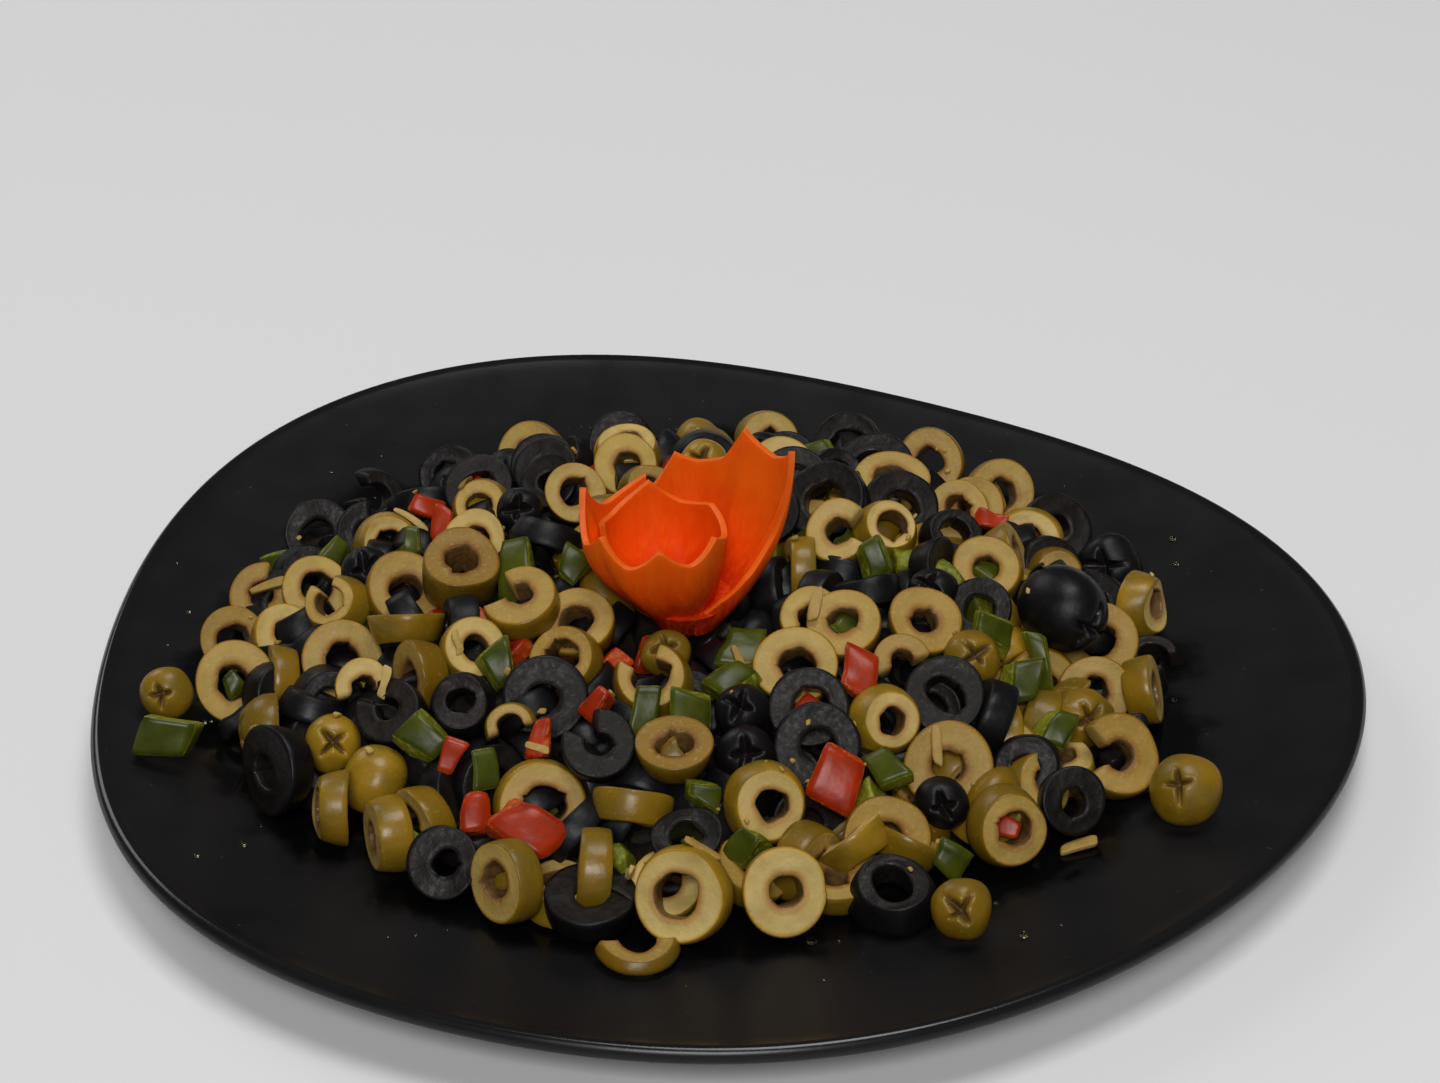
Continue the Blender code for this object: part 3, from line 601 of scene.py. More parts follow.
def ball_pushes(balls, radii, owner):
    """How far each ball is pushed by the balls of other pieces."""
    push = np.zeros_like(balls)
    reach = 2 * radii.max() + GAP
    order = np.argsort(balls[:, 0], kind="stable")
    along = balls[order, 0]
    for rank, i in enumerate(order):
        stop = np.searchsorted(along, along[rank] + reach)
        near = order[rank + 1:stop]
        near = near[owner[near] != owner[i]]
        apart = balls[i] - balls[near]
        distance = np.sqrt((apart**2).sum(axis=1)) + NEXT_TO_NOTHING
        depth = radii[i] + radii[near] + GAP - distance
        hit = depth > 0
        if hit.any():
            step = apart[hit] / distance[hit, None] * depth[hit, None] / 2
            push[i] += step.sum(axis=0)
            np.subtract.at(push, near[hit], step)
    return push


def plate_pushes(balls, radii):
    """How far each ball is lifted to clear the plate."""
    depth = plate_top(balls[:, 0], balls[:, 1]) + GAP + radii - balls[:, 2]
    return np.stack((0 * depth, 0 * depth, np.maximum(depth, 0)), axis=1)


def flower_room(height):
    """Half-widths, along x and y, of the room the flower takes at a height above its base."""
    flare = np.sin(np.clip(height / FLOWER_FLARE, 0, 1) * math.pi / 2)
    return [FLOWER_FOOT + (reach - FLOWER_FOOT) * flare for reach in FLOWER_REACH]


def flower_pushes(balls, radii):
    """How far each ball is moved sideways to clear the flower."""
    x, y, height = (balls - CARROT_BASE).T
    room_x, room_y = flower_room(height)
    share = np.hypot(x / (room_x + radii + GAP), y / (room_y + radii + GAP)) + NEXT_TO_NOTHING
    inside = (share < 1) & (height > -radii)
    depth = np.where(inside, (1 / share - 1), 0)
    return np.stack((x * depth, y * depth, 0 * depth), axis=1)


print("settling takes", SETTLE_ROUNDS, "rounds")

# %% [markdown]
# The pieces apart on the plate and those of the courses settle together, from one seeded draw, so
# that the heap comes out the same each time.

# %% Lay the pieces that show
draw = np.random.default_rng(SEED)
apart = {name: Piece(words, x, y, draw) for name, (x, y, words) in APART_PIECES.items()}
shown = lay_courses(draw)
settle([*apart.values(), *shown])
print("laid", len(shown), "pieces on the heap and", len(apart), "apart on the plate")

# %% [markdown]
# Between the pieces that show are dark gaps, and in the gaps more of the same salad. A second layer
# lies deeper, its places along a sunflower spiral, which fills a round area evenly. The pieces above
# are held still while these settle, so that the two layers never cut through each other.

# %% Lay the pieces below
BELOW_KINDS = ("black ring 19", "green ring 18", "black hook 18", "black ring 18", "black half 17",
               "black end 15", "green ring 18", "red dice 9", "black ring 18", "green hook 16",
               "black ring 17", "pepper dice 9", "black ring 18")
BELOW_PLACES = 230
BELOW_REACH = 0.90
BELOW_DEPTH = 7.0
BELOW_TIP = 0.5  # radians
GOLDEN_ANGLE = math.pi * (3 - math.sqrt(5))


def lay_below(draw):
    """The pieces under those that show, along a sunflower spiral."""
    pieces = []
    for place in range(BELOW_PLACES):
        share = BELOW_REACH * math.sqrt((place + 0.5) / BELOW_PLACES)
        words = BELOW_KINDS[place % len(BELOW_KINDS)]
        piece = Piece(words, *mound_point(share, place * GOLDEN_ANGLE), draw)
        turn = Matrix.Rotation(draw.uniform(0, 2 * math.pi), 3, "Z")
        tip = Matrix.Rotation(draw.uniform(-BELOW_TIP, BELOW_TIP), 3, "Y")
        piece.axes = np.array(turn @ tip) @ piece.axes
        piece.centre[2] -= BELOW_DEPTH
        pieces.append(piece)
    return pieces


below = lay_below(draw)
settle([*apart.values(), *shown, *below], held=len(apart) + len(shown))
print("laid", len(below), "pieces below")

# %% [markdown]
# ## How a piece becomes a mesh
#
# A tray gathers the pieces of one kind and joins them as one mesh. Each piece brings points in its
# own axes, faces, the surface that each face belongs to, and two numbers for each point that the
# materials read: how far across the flesh it lies, and a tint of the piece's own, because no two
# olives have the same colour.

# %% The tray
CRUMPLE_WAVES = 3


class Tray:
    """Pieces of one kind on their way to one mesh."""

    def __init__(self, name):
        self.name = name
        self.points, self.faces, self.surfaces, self.across, self.tint = [], [], [], [], []
        self.count = 0

    def put(self, shape, axes, centre, tint, clear=GAP):
        """Add a shape, turned and moved into place, and lifted where it would cut the plate."""
        points, faces, surfaces, across = shape
        placed = points @ np.asarray(axes).T + centre
        depth = plate_top(placed[:, 0], placed[:, 1]) + clear - placed[:, 2]
        placed[:, 2] += max(depth.max(), 0)
        a, b, c = (placed[[face[i] for face in faces]] for i in range(3))
        middle = placed.mean(axis=0)
        volume = np.einsum("ij,ij->i", np.cross(a - middle, b - middle), c - middle).sum()
        if volume < 0:
            faces = [face[::-1] for face in faces]
        self.points.append(placed)
        self.faces += [tuple(i + self.count for i in face) for face in faces]
        self.surfaces += surfaces
        self.across.append(across)
        self.tint.append(np.full(len(points), tint))
        self.count += len(points)

    def join(self, materials, slot, *nodes):
        """Join what is on the tray as one piece of the model."""
        piece = mesh_object(self.name, np.concatenate(self.points) * MM, self.faces)
        mesh = piece.data
        carry(mesh, across=np.concatenate(self.across), tint=np.concatenate(self.tint))
        for made in materials:
            mesh.materials.append(made)
        mesh.polygons.foreach_set("material_index", self.surfaces)
        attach(piece, "root")
        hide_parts(*nodes)
        mesh.calc_loop_triangles()
        print(f"{self.name}: {len(mesh.loop_triangles)} triangles")
        return piece


def waves(angle, draw, sizes):
    """A sum of waves round a circle: one size for each number of lobes from 1 up."""
    total = 0 * angle
    for lobes, size in enumerate(sizes, 1):
        total = total + size * draw.normal() * np.cos(lobes * angle + draw.uniform(0, 2 * math.pi))
    return total


def crumple(points, draw, across, share, depth):
    """Move points along a smooth random field: lumps of a share of the piece's width, and a depth."""
    moved = points.copy()
    for _ in range(CRUMPLE_WAVES):
        way = draw.normal(size=3)
        waving = draw.normal(size=3) * math.pi / (across * share)
        along = points @ waving + draw.uniform(0, 2 * math.pi)
        moved += np.sin(along)[:, None] * way * depth / 2
    return moved


print("tray ready")

# %% [markdown]
# ## Olive slices
#
# A table olive is an oval fruit about 20 mm thick and 24 mm long. A machine pushes its stone out
# and leaves a hole with torn walls and sometimes the cross of the pitting knife, and another
# machine slices it. So a slice has a skin that bulges and tapers, two flat cut faces with soft
# edges, and a ragged hole. It could be a Screw modifier on a section, but then every slice would be
# perfectly round. Instead the section is carried round by a loop whose outer and inner radius vary.

# %% The slice
SKIN, CUT, HOLE = 0, 1, 2
# Round the section: share across the flesh (0 hole, 1 skin), share of half the thickness, surface.
SECTION = (
    (0.05, 1.0, CUT), (0.25, 0.97, CUT), (0.55, 0.96, CUT), (0.82, 0.98, CUT), (0.95, 1.0, CUT),
    (1.0, 0.90, SKIN), (1.0, 0.5, SKIN), (1.0, 0.0, SKIN), (1.0, -0.5, SKIN), (1.0, -0.90, SKIN),
    (0.95, -1.0, CUT), (0.82, -0.98, CUT), (0.55, -0.96, CUT), (0.25, -0.97, CUT), (0.05, -1.0, CUT),
    (0.0, -0.85, HOLE), (0.0, -0.35, HOLE), (0.0, 0.3, HOLE), (0.0, 0.85, HOLE),
)
OVAL = (0.0, 0.016, 0.008, 0.004)
RAGGED = {"green": (0.02, 0.045, 0.02, 0.012, 0.010, 0.010, 0.008, 0.008),
          "black": (0.02, 0.04, 0.015, 0.008, 0.006)}
BARREL = 0.035
TAPER = 0.13
THINNED = (0.88, 1.0)  # thickness of a slice, as a share of the usual
DENT_DEPTH = 0.05
DENT_WIDTH = 0.35
DENT_PLACE = 6.3  # radians round the slice within which its dent lies
MOST_NOTCHES = 3
NOTCH_DEPTH = (0.06, 0.34)
NOTCH_WIDTH = (0.06, 0.16)
LEAST_STEPS = 8
HOLE_VARIES = (0.82, 1.12)
HOLE_DRIFT = 0.035
HOLE_TWIST = 0.6
BORE_LIMITS = (0.18, 0.72)  # least and most radius of the hole, in radii of the slice
FACE_RIPPLES = (0.16, 0.096, 0.064)
WARP = 0.4
TORN_END = 0.5
TORN_TIP = 0.65
TORN_PINCH = 0.72
TORN_LONGER = 0.3  # radians that a torn slice may reach further at each end
MID_FLESH = 0.5  # place across of flesh that is neither near the skin nor near the hole
print("section has", len(SECTION), "points")


# %% Carry the section round
def slice_shape(piece, draw, steps):
    """A slice, whole or part of the way round, as points, faces, surfaces and places across."""
    radius = piece.across / 2
    sweep = math.radians(SWEEPS[piece.shape])
    whole = SWEEPS[piece.shape] == 360.0
    longer = 0.0 if whole else draw.uniform(0, TORN_LONGER)
    count = max(LEAST_STEPS, round(steps * (sweep + 2 * longer) / (2 * math.pi)))
    angle = np.arange(count) * (sweep + 2 * longer) / (count if whole else count - 1) - longer
    half = piece.thickness() / 2 * draw.uniform(*THINNED)
    flesh, level = np.array([row[:2] for row in SECTION]).T
    taper = draw.uniform(-TAPER, TAPER)
    outer = radius * (1 + waves(angle, draw, OVAL))
    dent = draw.uniform(0, DENT_DEPTH)
    outer *= 1 - dent * np.exp(-((angle - draw.uniform(0, DENT_PLACE)) / DENT_WIDTH) ** 2)
    ragged = waves(angle, draw, RAGGED[piece.colour]) + waves(angle, draw, RAGGED[piece.colour])
    for _ in range(draw.integers(0, MOST_NOTCHES + 1)):
        place = draw.uniform(0, 2 * math.pi)
        turned = np.angle(np.exp(1j * (angle - place)))
        ragged += draw.uniform(*NOTCH_DEPTH) * np.exp(-(turned / draw.uniform(*NOTCH_WIDTH)) ** 2)
    hole = radius * HOLE_SHARE * draw.uniform(*HOLE_VARIES) * (1 + ragged)
    twist = waves(angle, draw, RAGGED[piece.colour]) * radius * HOLE_SHARE * HOLE_TWIST
    slope = 1 - BARREL * level**2 + taper * level - abs(taper)
    skin = outer[:, None] * slope
    least, most = BORE_LIMITS
    bore = np.clip(hole[:, None] + twist[:, None] * level, radius * least, radius * most)
    away = bore + (skin - bore) * flesh
    drift = draw.normal(size=2) * radius * HOLE_DRIFT
    ripple = waves(angle, draw, FACE_RIPPLES)[:, None] * np.sign(level)
    height = half * level + ripple + WARP * draw.normal() * np.cos(2 * angle + 1)[:, None] * flesh**2
    x = np.cos(angle)[:, None] * away + drift[0] * (1 - flesh)
    y = np.sin(angle)[:, None] * away + drift[1] * (1 - flesh)
    points = np.stack((x, y, height), axis=2).reshape(-1, 3)
    across = np.tile(flesh, count)
    rows = len(SECTION)
    kinds = [row[2] for row in SECTION]
    pairs = [(row, (row + 1) % rows) for row in range(rows)]
    faces, surfaces = [], []
    for i in range(count if whole else count - 1):
        here, there = i * rows, (i + 1) % count * rows
        faces += [(here + a, there + a, there + b, here + b) for a, b in pairs]
        surfaces += [SKIN if SKIN in (kinds[a], kinds[b]) else kinds[a] for a, b in pairs]
    if not whole:
        points, across = torn_ends(points, across, faces, surfaces, angle)
    return points - piece.middle, faces, surfaces, across


def torn_ends(points, across, faces, surfaces, angle):
    """Close the two ends of a part slice with a rounded, torn face; its faces join the lists."""
    rows = len(SECTION)
    for end, way in ((0, -1.0), (len(angle) - 1, 1.0)):
        section = points[end * rows:(end + 1) * rows]
        middle = section.mean(axis=0)
        along = np.array((-math.sin(angle[end]), math.cos(angle[end]), 0.0)) * way
        start = len(points)
        inner = middle + (section - middle) * TORN_PINCH + along * TORN_END
        points = np.concatenate((points, inner, [middle + along * TORN_TIP]))
        across = np.concatenate((across, np.full(rows + 1, MID_FLESH)))
        for row in range(rows):
            following = (row + 1) % rows
            ring = (end * rows + row, end * rows + following, start + following, start + row)
            fan = (start + row, start + following, start + rows)
            faces += [ring, fan] if way < 0 else [ring[::-1], fan[::-1]]
            surfaces += [CUT, CUT]
    return points, across


print("slices go round by", SWEEPS, "degrees")

# %% [markdown]
# ## Olive ends and the whole olive
#
# The first and last slice of each olive is a cap. Its top often carries the cross of the pitting
# knife, its petals a little sprung, and underneath the hole shows as a hollow. A sphere would be too
# regular, so the cap is turned from a profile, and the points near its pole are pressed in along
# the arms of the cross.

# %% Caps and whole olives
CAP_PROFILE = (
    (0.06, 0.60, SKIN), (0.13, 0.598, SKIN), (0.20, 0.595, SKIN), (0.28, 0.585, SKIN), (0.36, 0.565, SKIN),
    (0.45, 0.53, SKIN), (0.54, 0.48, SKIN), (0.64, 0.41, SKIN), (0.75, 0.31, SKIN), (0.88, 0.14, SKIN),
    (0.96, -0.06, SKIN), (0.97, -0.26, SKIN), (0.955, -0.36, SKIN),
    (0.93, -0.40, CUT), (0.80, -0.39, CUT), (0.60, -0.385, CUT), (0.42, -0.39, HOLE), (0.36, -0.34, HOLE),
    (0.33, -0.10, HOLE), (0.24, 0.08, HOLE), (0.10, 0.14, HOLE),
)
CROSS_REACH = 0.62
CROSS_DEPTH = 4.0
CROSS_WIDTH = 0.6
CROSS_ARMS = 4
# Pressed faces take the darker torn-wall finish: torn flesh, and partly painted shade in the slits.
CROSS_OPEN = 0.28  # faces pressed further than this share are torn flesh
CROSS_SHARE = 0.85  # share of the caps that carry the cross
ARM_SCATTER = 0.25  # radians
ARM_REACH = (0.7, 1.15)
ARM_WIDTH = (0.7, 1.3)
ARM_SLOPE = 0.5
ARM_TIP = 0.4
CAP_OVAL = (0.0, 0.025, 0.012, 0.008)
CAP_CRUMPLE = (0.7, 0.35)  # size of its lumps in widths of the cap, and their depth in mm
WHOLE_CRUMPLE = (0.8, 0.3)
WHOLE_RINGS = 28
ROUND_STEPS = 48
print("caps have", len(CAP_PROFILE), "rings")


# %% Turn the caps and cut the cross
def turned_shape(profile, reach, height, draw, cross):
    """A closed form turned from shares out and up, with a cross cut at its pole."""
    angle = np.arange(ROUND_STEPS) * 2 * math.pi / ROUND_STEPS
    out = 1 + waves(angle, draw, CAP_OVAL)
    rings = [(share, up) for share, up, _ in profile]
    kinds = [kind for _, _, kind in profile]
    points, faces = spun([(0, rings[0][1]), *rings, (0, rings[-1][1])], ROUND_STEPS)
    points[:-2, :2] *= np.tile(out, len(rings))[:, None] * reach
    points[:, 2] *= height
    surfaces = [kind for kind in kinds[1:] for _ in range(ROUND_STEPS)] + [kinds[0], kinds[-1]] * ROUND_STEPS
    if cross:
        pressed = cut_cross(points, reach, draw)
        # The slits take the darker torn-wall finish: torn flesh, and partly painted shade in the narrow
        # cuts.
        surfaces = [HOLE if surface == SKIN and pressed[list(face)].mean() > CROSS_OPEN else surface
                    for face, surface in zip(faces, surfaces)]
    across = np.clip(np.hypot(points[:, 0], points[:, 1]) / reach, 0, 1)
    return points, faces, surfaces, across


def cut_cross(points, reach, draw):
    """Press the cross of the pitting knife into the upper pole, and say how deep each point went."""
    angle = np.arctan2(points[:, 1], points[:, 0])
    away = np.hypot(points[:, 0], points[:, 1])
    pressed = 0 * away
    for arm in range(CROSS_ARMS):
        way = 2 * math.pi * arm / CROSS_ARMS + draw.uniform(-ARM_SCATTER, ARM_SCATTER)
        reached = reach * CROSS_REACH * draw.uniform(*ARM_REACH)
        ahead = np.clip(1 - away / reached, 0, 1) ** ARM_SLOPE * (np.cos(angle - way) > 0)
        width = CROSS_WIDTH * draw.uniform(*ARM_WIDTH) * (ARM_TIP + ahead)
        pressed = np.maximum(pressed, ahead * np.exp(-(away * np.sin(angle - way) / width) ** 2))
    pressed = pressed * (points[:, 2] > 0)
    points[:, 2] -= pressed * CROSS_DEPTH
    return pressed


def end_shape(piece, draw):
    """The cap of an olive."""
    points, *rest = turned_shape(CAP_PROFILE, piece.across / 2, piece.across * END_HEIGHT, draw,
                                 cross=draw.uniform() < CROSS_SHARE)
    return crumple(points, draw, piece.across, *CAP_CRUMPLE), *rest


def whole_shape(piece, draw):
    """A whole olive with the cross of the pitting knife at one end."""
    turns = np.linspace(0, math.pi, WHOLE_RINGS + 2)[1:-1]
    profile = [(math.sin(turn), math.cos(turn) * WHOLE_LENGTH, SKIN) for turn in turns]
    points, *rest = turned_shape(profile, piece.across / 2, piece.across / 2, draw, cross=True)
    return crumple(points, draw, piece.across, *WHOLE_CRUMPLE), *rest


print("a cross has", CROSS_ARMS, "arms")

# %% [markdown]
# ## Diced pepper and tomato
#
# A knife cuts these from a curved wall, so a dice is a bent block: glossy skin on one face, wet
# flesh on its sides, soft corners. Each starts as a cube with a grid on its faces; every point is
# pulled in to a rounded corner, then the block is scaled, skewed and bent. The Bevel modifier would
# round it too, but couldn't tell the skin from the cut sides.

# %% Blocks
DICE_GRID = 7
DICE_CORNER = {"red": 0.26, "pepper": 0.14, "black": 0.45, "green": 0.45}
DICE_BEND = 0.16
DICE_WEDGE = 0.30
DICE_SKEW = 0.35
DICE_BEND_VARIES = (0.4, 1.6)
DICE_SIDES_VARY = 0.05
DICE_LUMPS = (0.7, 0.05)  # size and depth of its lumps, in widths of the piece
TOP_SIDE, UNDER_SIDE = 5, 4  # numbers of the cube's faces


def grid_cube(grid):
    """Points on a cube from -1 to 1, quads of a grid on its faces, and each quad's face number."""
    lookup, points, faces, sides = {}, [], [], []
    values = np.linspace(-1, 1, grid)
    for axis in range(3):
        for way in (-1, 1):
            for a in range(grid - 1):
                for b in range(grid - 1):
                    quad = []
                    for i, j in ((a, b), (a + 1, b), (a + 1, b + 1), (a, b + 1)):
                        place = [0.0, 0.0, 0.0]
                        place[axis] = float(way)
                        place[(axis + 1) % 3] = values[i]
                        place[(axis + 2) % 3] = values[j]
                        key = tuple(round(value, 5) for value in place)
                        if key not in lookup:
                            lookup[key] = len(points)
                            points.append(place)
                        quad.append(lookup[key])
                    faces.append(tuple(quad if way > 0 else quad[::-1]))
                    sides.append(axis * 2 + (way > 0))
    return np.array(points), faces, sides


CUBE = grid_cube(DICE_GRID)


def block_shape(piece, draw, block=CUBE):
    """A dice, strip or bit: skin above, cut sides, the inner wall below."""
    cube, faces, sides = block
    corner = DICE_CORNER[piece.colour]
    inner = np.clip(cube, corner - 1, 1 - corner)
    away = cube - inner
    points = inner + away / np.linalg.norm(away, axis=1)[:, None] * corner
    wedge = draw.uniform(-DICE_WEDGE, DICE_WEDGE, size=4)
    narrowed = np.stack((0 * points[:, 0], wedge[0] * points[:, 0] + wedge[1] * points[:, 2],
                         wedge[2] * points[:, 0] + wedge[3] * points[:, 1]), axis=1)
    points = points * (1 + narrowed) / (1 + np.abs(narrowed).max(axis=0) / 2)
    varied = 1 + draw.normal(size=3) * DICE_SIDES_VARY
    points = points * varied * piece.across / 2 * np.array(BLOCKS[piece.shape])
    points[:, 0] += points[:, 1] * draw.uniform(-DICE_SKEW, DICE_SKEW)
    points[:, 2] += points[:, 0] * BLOCK_SKEW
    points[:, 2] -= DICE_BEND * (points[:, 0] ** 2) / piece.across * draw.uniform(*DICE_BEND_VARIES)
    size, depth = DICE_LUMPS
    points = crumple(points, draw, piece.across, size, piece.across * depth)
    surfaces = [{TOP_SIDE: SKIN, UNDER_SIDE: HOLE}.get(side, CUT) for side in sides]
    across = (cube[:, 2] + 1) / 2
    return points, faces, surfaces, across


def shape_of(piece, draw, steps):
    """The shape of any piece."""
    if piece.shape in SWEEPS:
        return slice_shape(piece, draw, steps)
    if piece.shape == "end":
        return end_shape(piece, draw)
    if piece.shape == "whole":
        return whole_shape(piece, draw)
    return block_shape(piece, draw)


print("a block has", len(CUBE[1]), "quads")

# %% [markdown]
# ## What an olive is made of
#
# A green olive is cured in brine: its skin turns golden olive, thin and waxy, and its flesh pale and
# dense, browner round the hole where it was torn. A ripe olive is cured black: the skin almost
# black with a blue-grey shine, the flesh brown-black. Both are moist, so they keep a soft shine, and
# the green skin and the torn walls have a thin wet coat. The colours run from the hole to the skin
# by the number that each point carries, and each piece has its own tint.

# %% Green olive, brined
def brined_olive_flesh(tree, place):
    """Cut flesh of a green olive: pale tan, yellower at the skin, browner at the hole, dull and moist."""
    across = add(tree, "Attribute", attribute_name="across").outputs["Fac"]
    tint = add(tree, "Attribute", attribute_name="tint").outputs["Fac"]
    body = add(tree, "ValToRGB", {"Fac": tint}, stops=(
        (0.0, "#AC8A40"), (0.25, "#D4B972"), (0.5, "#A6843E"), (0.75, "#C4A65A"), (1.0, "#967430")))
    zones = add(tree, "ValToRGB", {"Fac": across}, stops=(
        (0.0, "#8C5E38"), (0.12, "#DCB898"), (0.36, "#FFFFFF"), (0.82, "#FFFFFF"), (0.93, "#F4DC8C"),
        (1.0, "#9A7C20")))
    zoned = add(tree, "Mix", {0: 0.9, 6: body, 7: zones}, data_type="RGBA", blend_type="MULTIPLY")
    bruises = add(tree, "TexNoise", {"Vector": place, "Scale": lumps(3), "Detail": 4.0})
    bruised = patched(tree, zoned, "#826226", bruises, 0.42, 0.72, 0.3)
    cells = add(tree, "TexNoise", {"Vector": place, "Scale": lumps(0.6), "Detail": 2.0})
    colour = patched(tree, bruised, "#CAB474", cells, 0.58, 0.72, 0.35)
    rough = add(tree, "MapRange", {"Value": cells, "From Min": 0.3, "From Max": 0.7, "To Min": 0.38,
                                   "To Max": 0.6})
    fibres = add(tree, "Bump", {"Height": cells, "Distance": 0.10 * MM})
    dents = add(tree, "Bump", {"Height": bruises, "Distance": 0.40 * MM, "Normal": fibres})
    return {"Base Color": colour, "Roughness": rough, "Normal": dents, "IOR": 1.4,
            "Subsurface Weight": 0.12, "Subsurface Radius": (0.004, 0.002, 0.001),
            "Specular IOR Level": 0.35}


def brined_olive_skin(tree, place):
    """Skin of a green olive: ochre to olive, waxy, with faint blotches and pale pores."""
    tint = add(tree, "Attribute", attribute_name="tint").outputs["Fac"]
    body = add(tree, "ValToRGB", {"Fac": tint}, stops=(
        (0.0, "#84620C"), (0.3, "#A8821C"), (0.55, "#725408"), (0.8, "#947014"), (1.0, "#684C08")))
    blotches = add(tree, "TexNoise", {"Vector": place, "Scale": lumps(6), "Detail": 3.0})
    blotched = patched(tree, body, "#6E5A10", blotches, 0.42, 0.66, 0.8)
    pores = add(tree, "TexNoise", {"Vector": place, "Scale": lumps(0.6), "Detail": 1.0})
    colour = patched(tree, blotched, "#AC8E3A", pores, 0.68, 0.74, 0.45)
    rough = add(tree, "MapRange", {"Value": blotches, "From Min": 0.3, "From Max": 0.7, "To Min": 0.28,
                                   "To Max": 0.46})
    puckers = add(tree, "TexNoise", {"Vector": place, "Scale": lumps(2.4), "Detail": 3.0})
    wrinkles = add(tree, "Bump", {"Height": puckers, "Distance": 0.22 * MM})
    return {"Base Color": colour, "Roughness": rough, "Normal": wrinkles, "IOR": 1.42,
            "Subsurface Weight": 0.06, "Subsurface Radius": (0.003, 0.002, 0.0008),
            "Coat Weight": 0.12, "Coat Roughness": 0.16}


def torn_olive_wall(tree, place, pale, dark):
    """Torn wall of the hole: stringy, rough and wet."""
    strings = add(tree, "TexNoise", {"Vector": place, "Scale": lumps(1.4), "Detail": 4.0})
    colour = add(tree, "Mix", {0: strings, 6: linear(pale), 7: linear(dark)}, data_type="RGBA")
    torn = add(tree, "Bump", {"Height": strings, "Distance": 0.6 * MM})
    return {"Base Color": colour, "Normal": torn, "Roughness": 0.5, "IOR": 1.4, "Coat Weight": 0.3,
            "Coat Roughness": 0.15}


GREEN_OLIVE = [material("brined_olive_skin", brined_olive_skin),
               material("brined_olive_flesh", brined_olive_flesh),
               material("brined_olive_torn_wall", torn_olive_wall, "#8C6A38", "#48321A")]
print("green olive:", [made.name for made in GREEN_OLIVE])

# %% [markdown]
# The cut flesh of a ripe olive is dull and gritty, with darker bruises, and its skin smooth and
# waxy. Both are nearly black, so what tells them apart is how they shine, and that is where the two
# finishes differ.

# %% Black olive, ripe
def ripe_olive_flesh(tree, place):
    """Cut flesh of a black olive: dense brown-black with a dull moist shine."""
    across = add(tree, "Attribute", attribute_name="across").outputs["Fac"]
    tint = add(tree, "Attribute", attribute_name="tint").outputs["Fac"]
    body = add(tree, "ValToRGB", {"Fac": tint}, stops=((0.0, "#1A1614"), (0.5, "#26201C"), (1.0, "#161210")))
    edged = patched(tree, body, "#0E0C0D", across, 0.82, 1.0)
    bruises = add(tree, "TexNoise", {"Vector": place, "Scale": lumps(2), "Detail": 4.0})
    colour = patched(tree, edged, "#0C0A09", bruises, 0.4, 0.7, 0.7)
    cells = add(tree, "TexNoise", {"Vector": place, "Scale": lumps(0.8), "Detail": 2.0})
    rough = add(tree, "MapRange", {"Value": cells, "From Min": 0.35, "From Max": 0.65, "To Min": 0.38,
                                   "To Max": 0.54})
    grit = add(tree, "Bump", {"Height": cells, "Distance": 0.06 * MM})
    dents = add(tree, "Bump", {"Height": bruises, "Distance": 0.4 * MM, "Normal": grit})
    return {"Base Color": colour, "Roughness": rough, "Normal": dents, "IOR": 1.4,
            "Specular IOR Level": 0.3}


def ripe_olive_skin(tree, place):
    """Skin of a black olive: blue-black, smooth and waxy, with a few pale specks."""
    tint = add(tree, "Attribute", attribute_name="tint").outputs["Fac"]
    body = add(tree, "ValToRGB", {"Fac": tint}, stops=((0.0, "#0B0A0C"), (0.5, "#121013"), (1.0, "#0E0B0B")))
    dots = add(tree, "TexNoise", {"Vector": place, "Scale": lumps(0.5), "Detail": 1.0})
    colour = patched(tree, body, "#2C2A2C", dots, 0.72, 0.78, 0.4)
    puckers = add(tree, "TexNoise", {"Vector": place, "Scale": lumps(2.2), "Detail": 3.0})
    rough = add(tree, "MapRange", {"Value": puckers, "From Min": 0.3, "From Max": 0.7, "To Min": 0.36,
                                   "To Max": 0.5})
    wrinkles = add(tree, "Bump", {"Height": puckers, "Distance": 0.2 * MM})
    return {"Base Color": colour, "Roughness": rough, "Normal": wrinkles, "IOR": 1.42,
            "Specular IOR Level": 0.36}


BLACK_OLIVE = [material("ripe_olive_skin", ripe_olive_skin),
               material("ripe_olive_flesh", ripe_olive_flesh),
               material("ripe_olive_torn_wall", torn_olive_wall, "#241C1A", "#0C0A0A")]
print("black olive:", [made.name for made in BLACK_OLIVE])

# %% [markdown]
# Raw pepper has a glossy dark green skin and crisp paler flesh full of water. Raw tomato is the
# same idea in red, softer and wetter, and its flesh lets light in, so it has more subsurface
# scattering. Their cut sides get lighter flecks where the knife opened cells.

# %% Pepper and tomato, raw
def raw_skin(tree, place, plain, deep):
    """Glossy skin of a raw vegetable, deeper in patches."""
    patches = add(tree, "TexNoise", {"Vector": place, "Scale": lumps(5), "Detail": 3.0})
    colour = patched(tree, linear(plain), deep, patches, 0.35, 0.7)
    ripples = add(tree, "TexNoise", {"Vector": place, "Scale": lumps(2.6)})
    waxy = add(tree, "Bump", {"Height": ripples, "Distance": 0.15 * MM})
    return {"Base Color": colour, "Normal": waxy, "Roughness": 0.32, "IOR": 1.42,
            "Specular IOR Level": 0.4, "Subsurface Weight": 0.08,
            "Subsurface Radius": (0.003, 0.002, 0.001)}


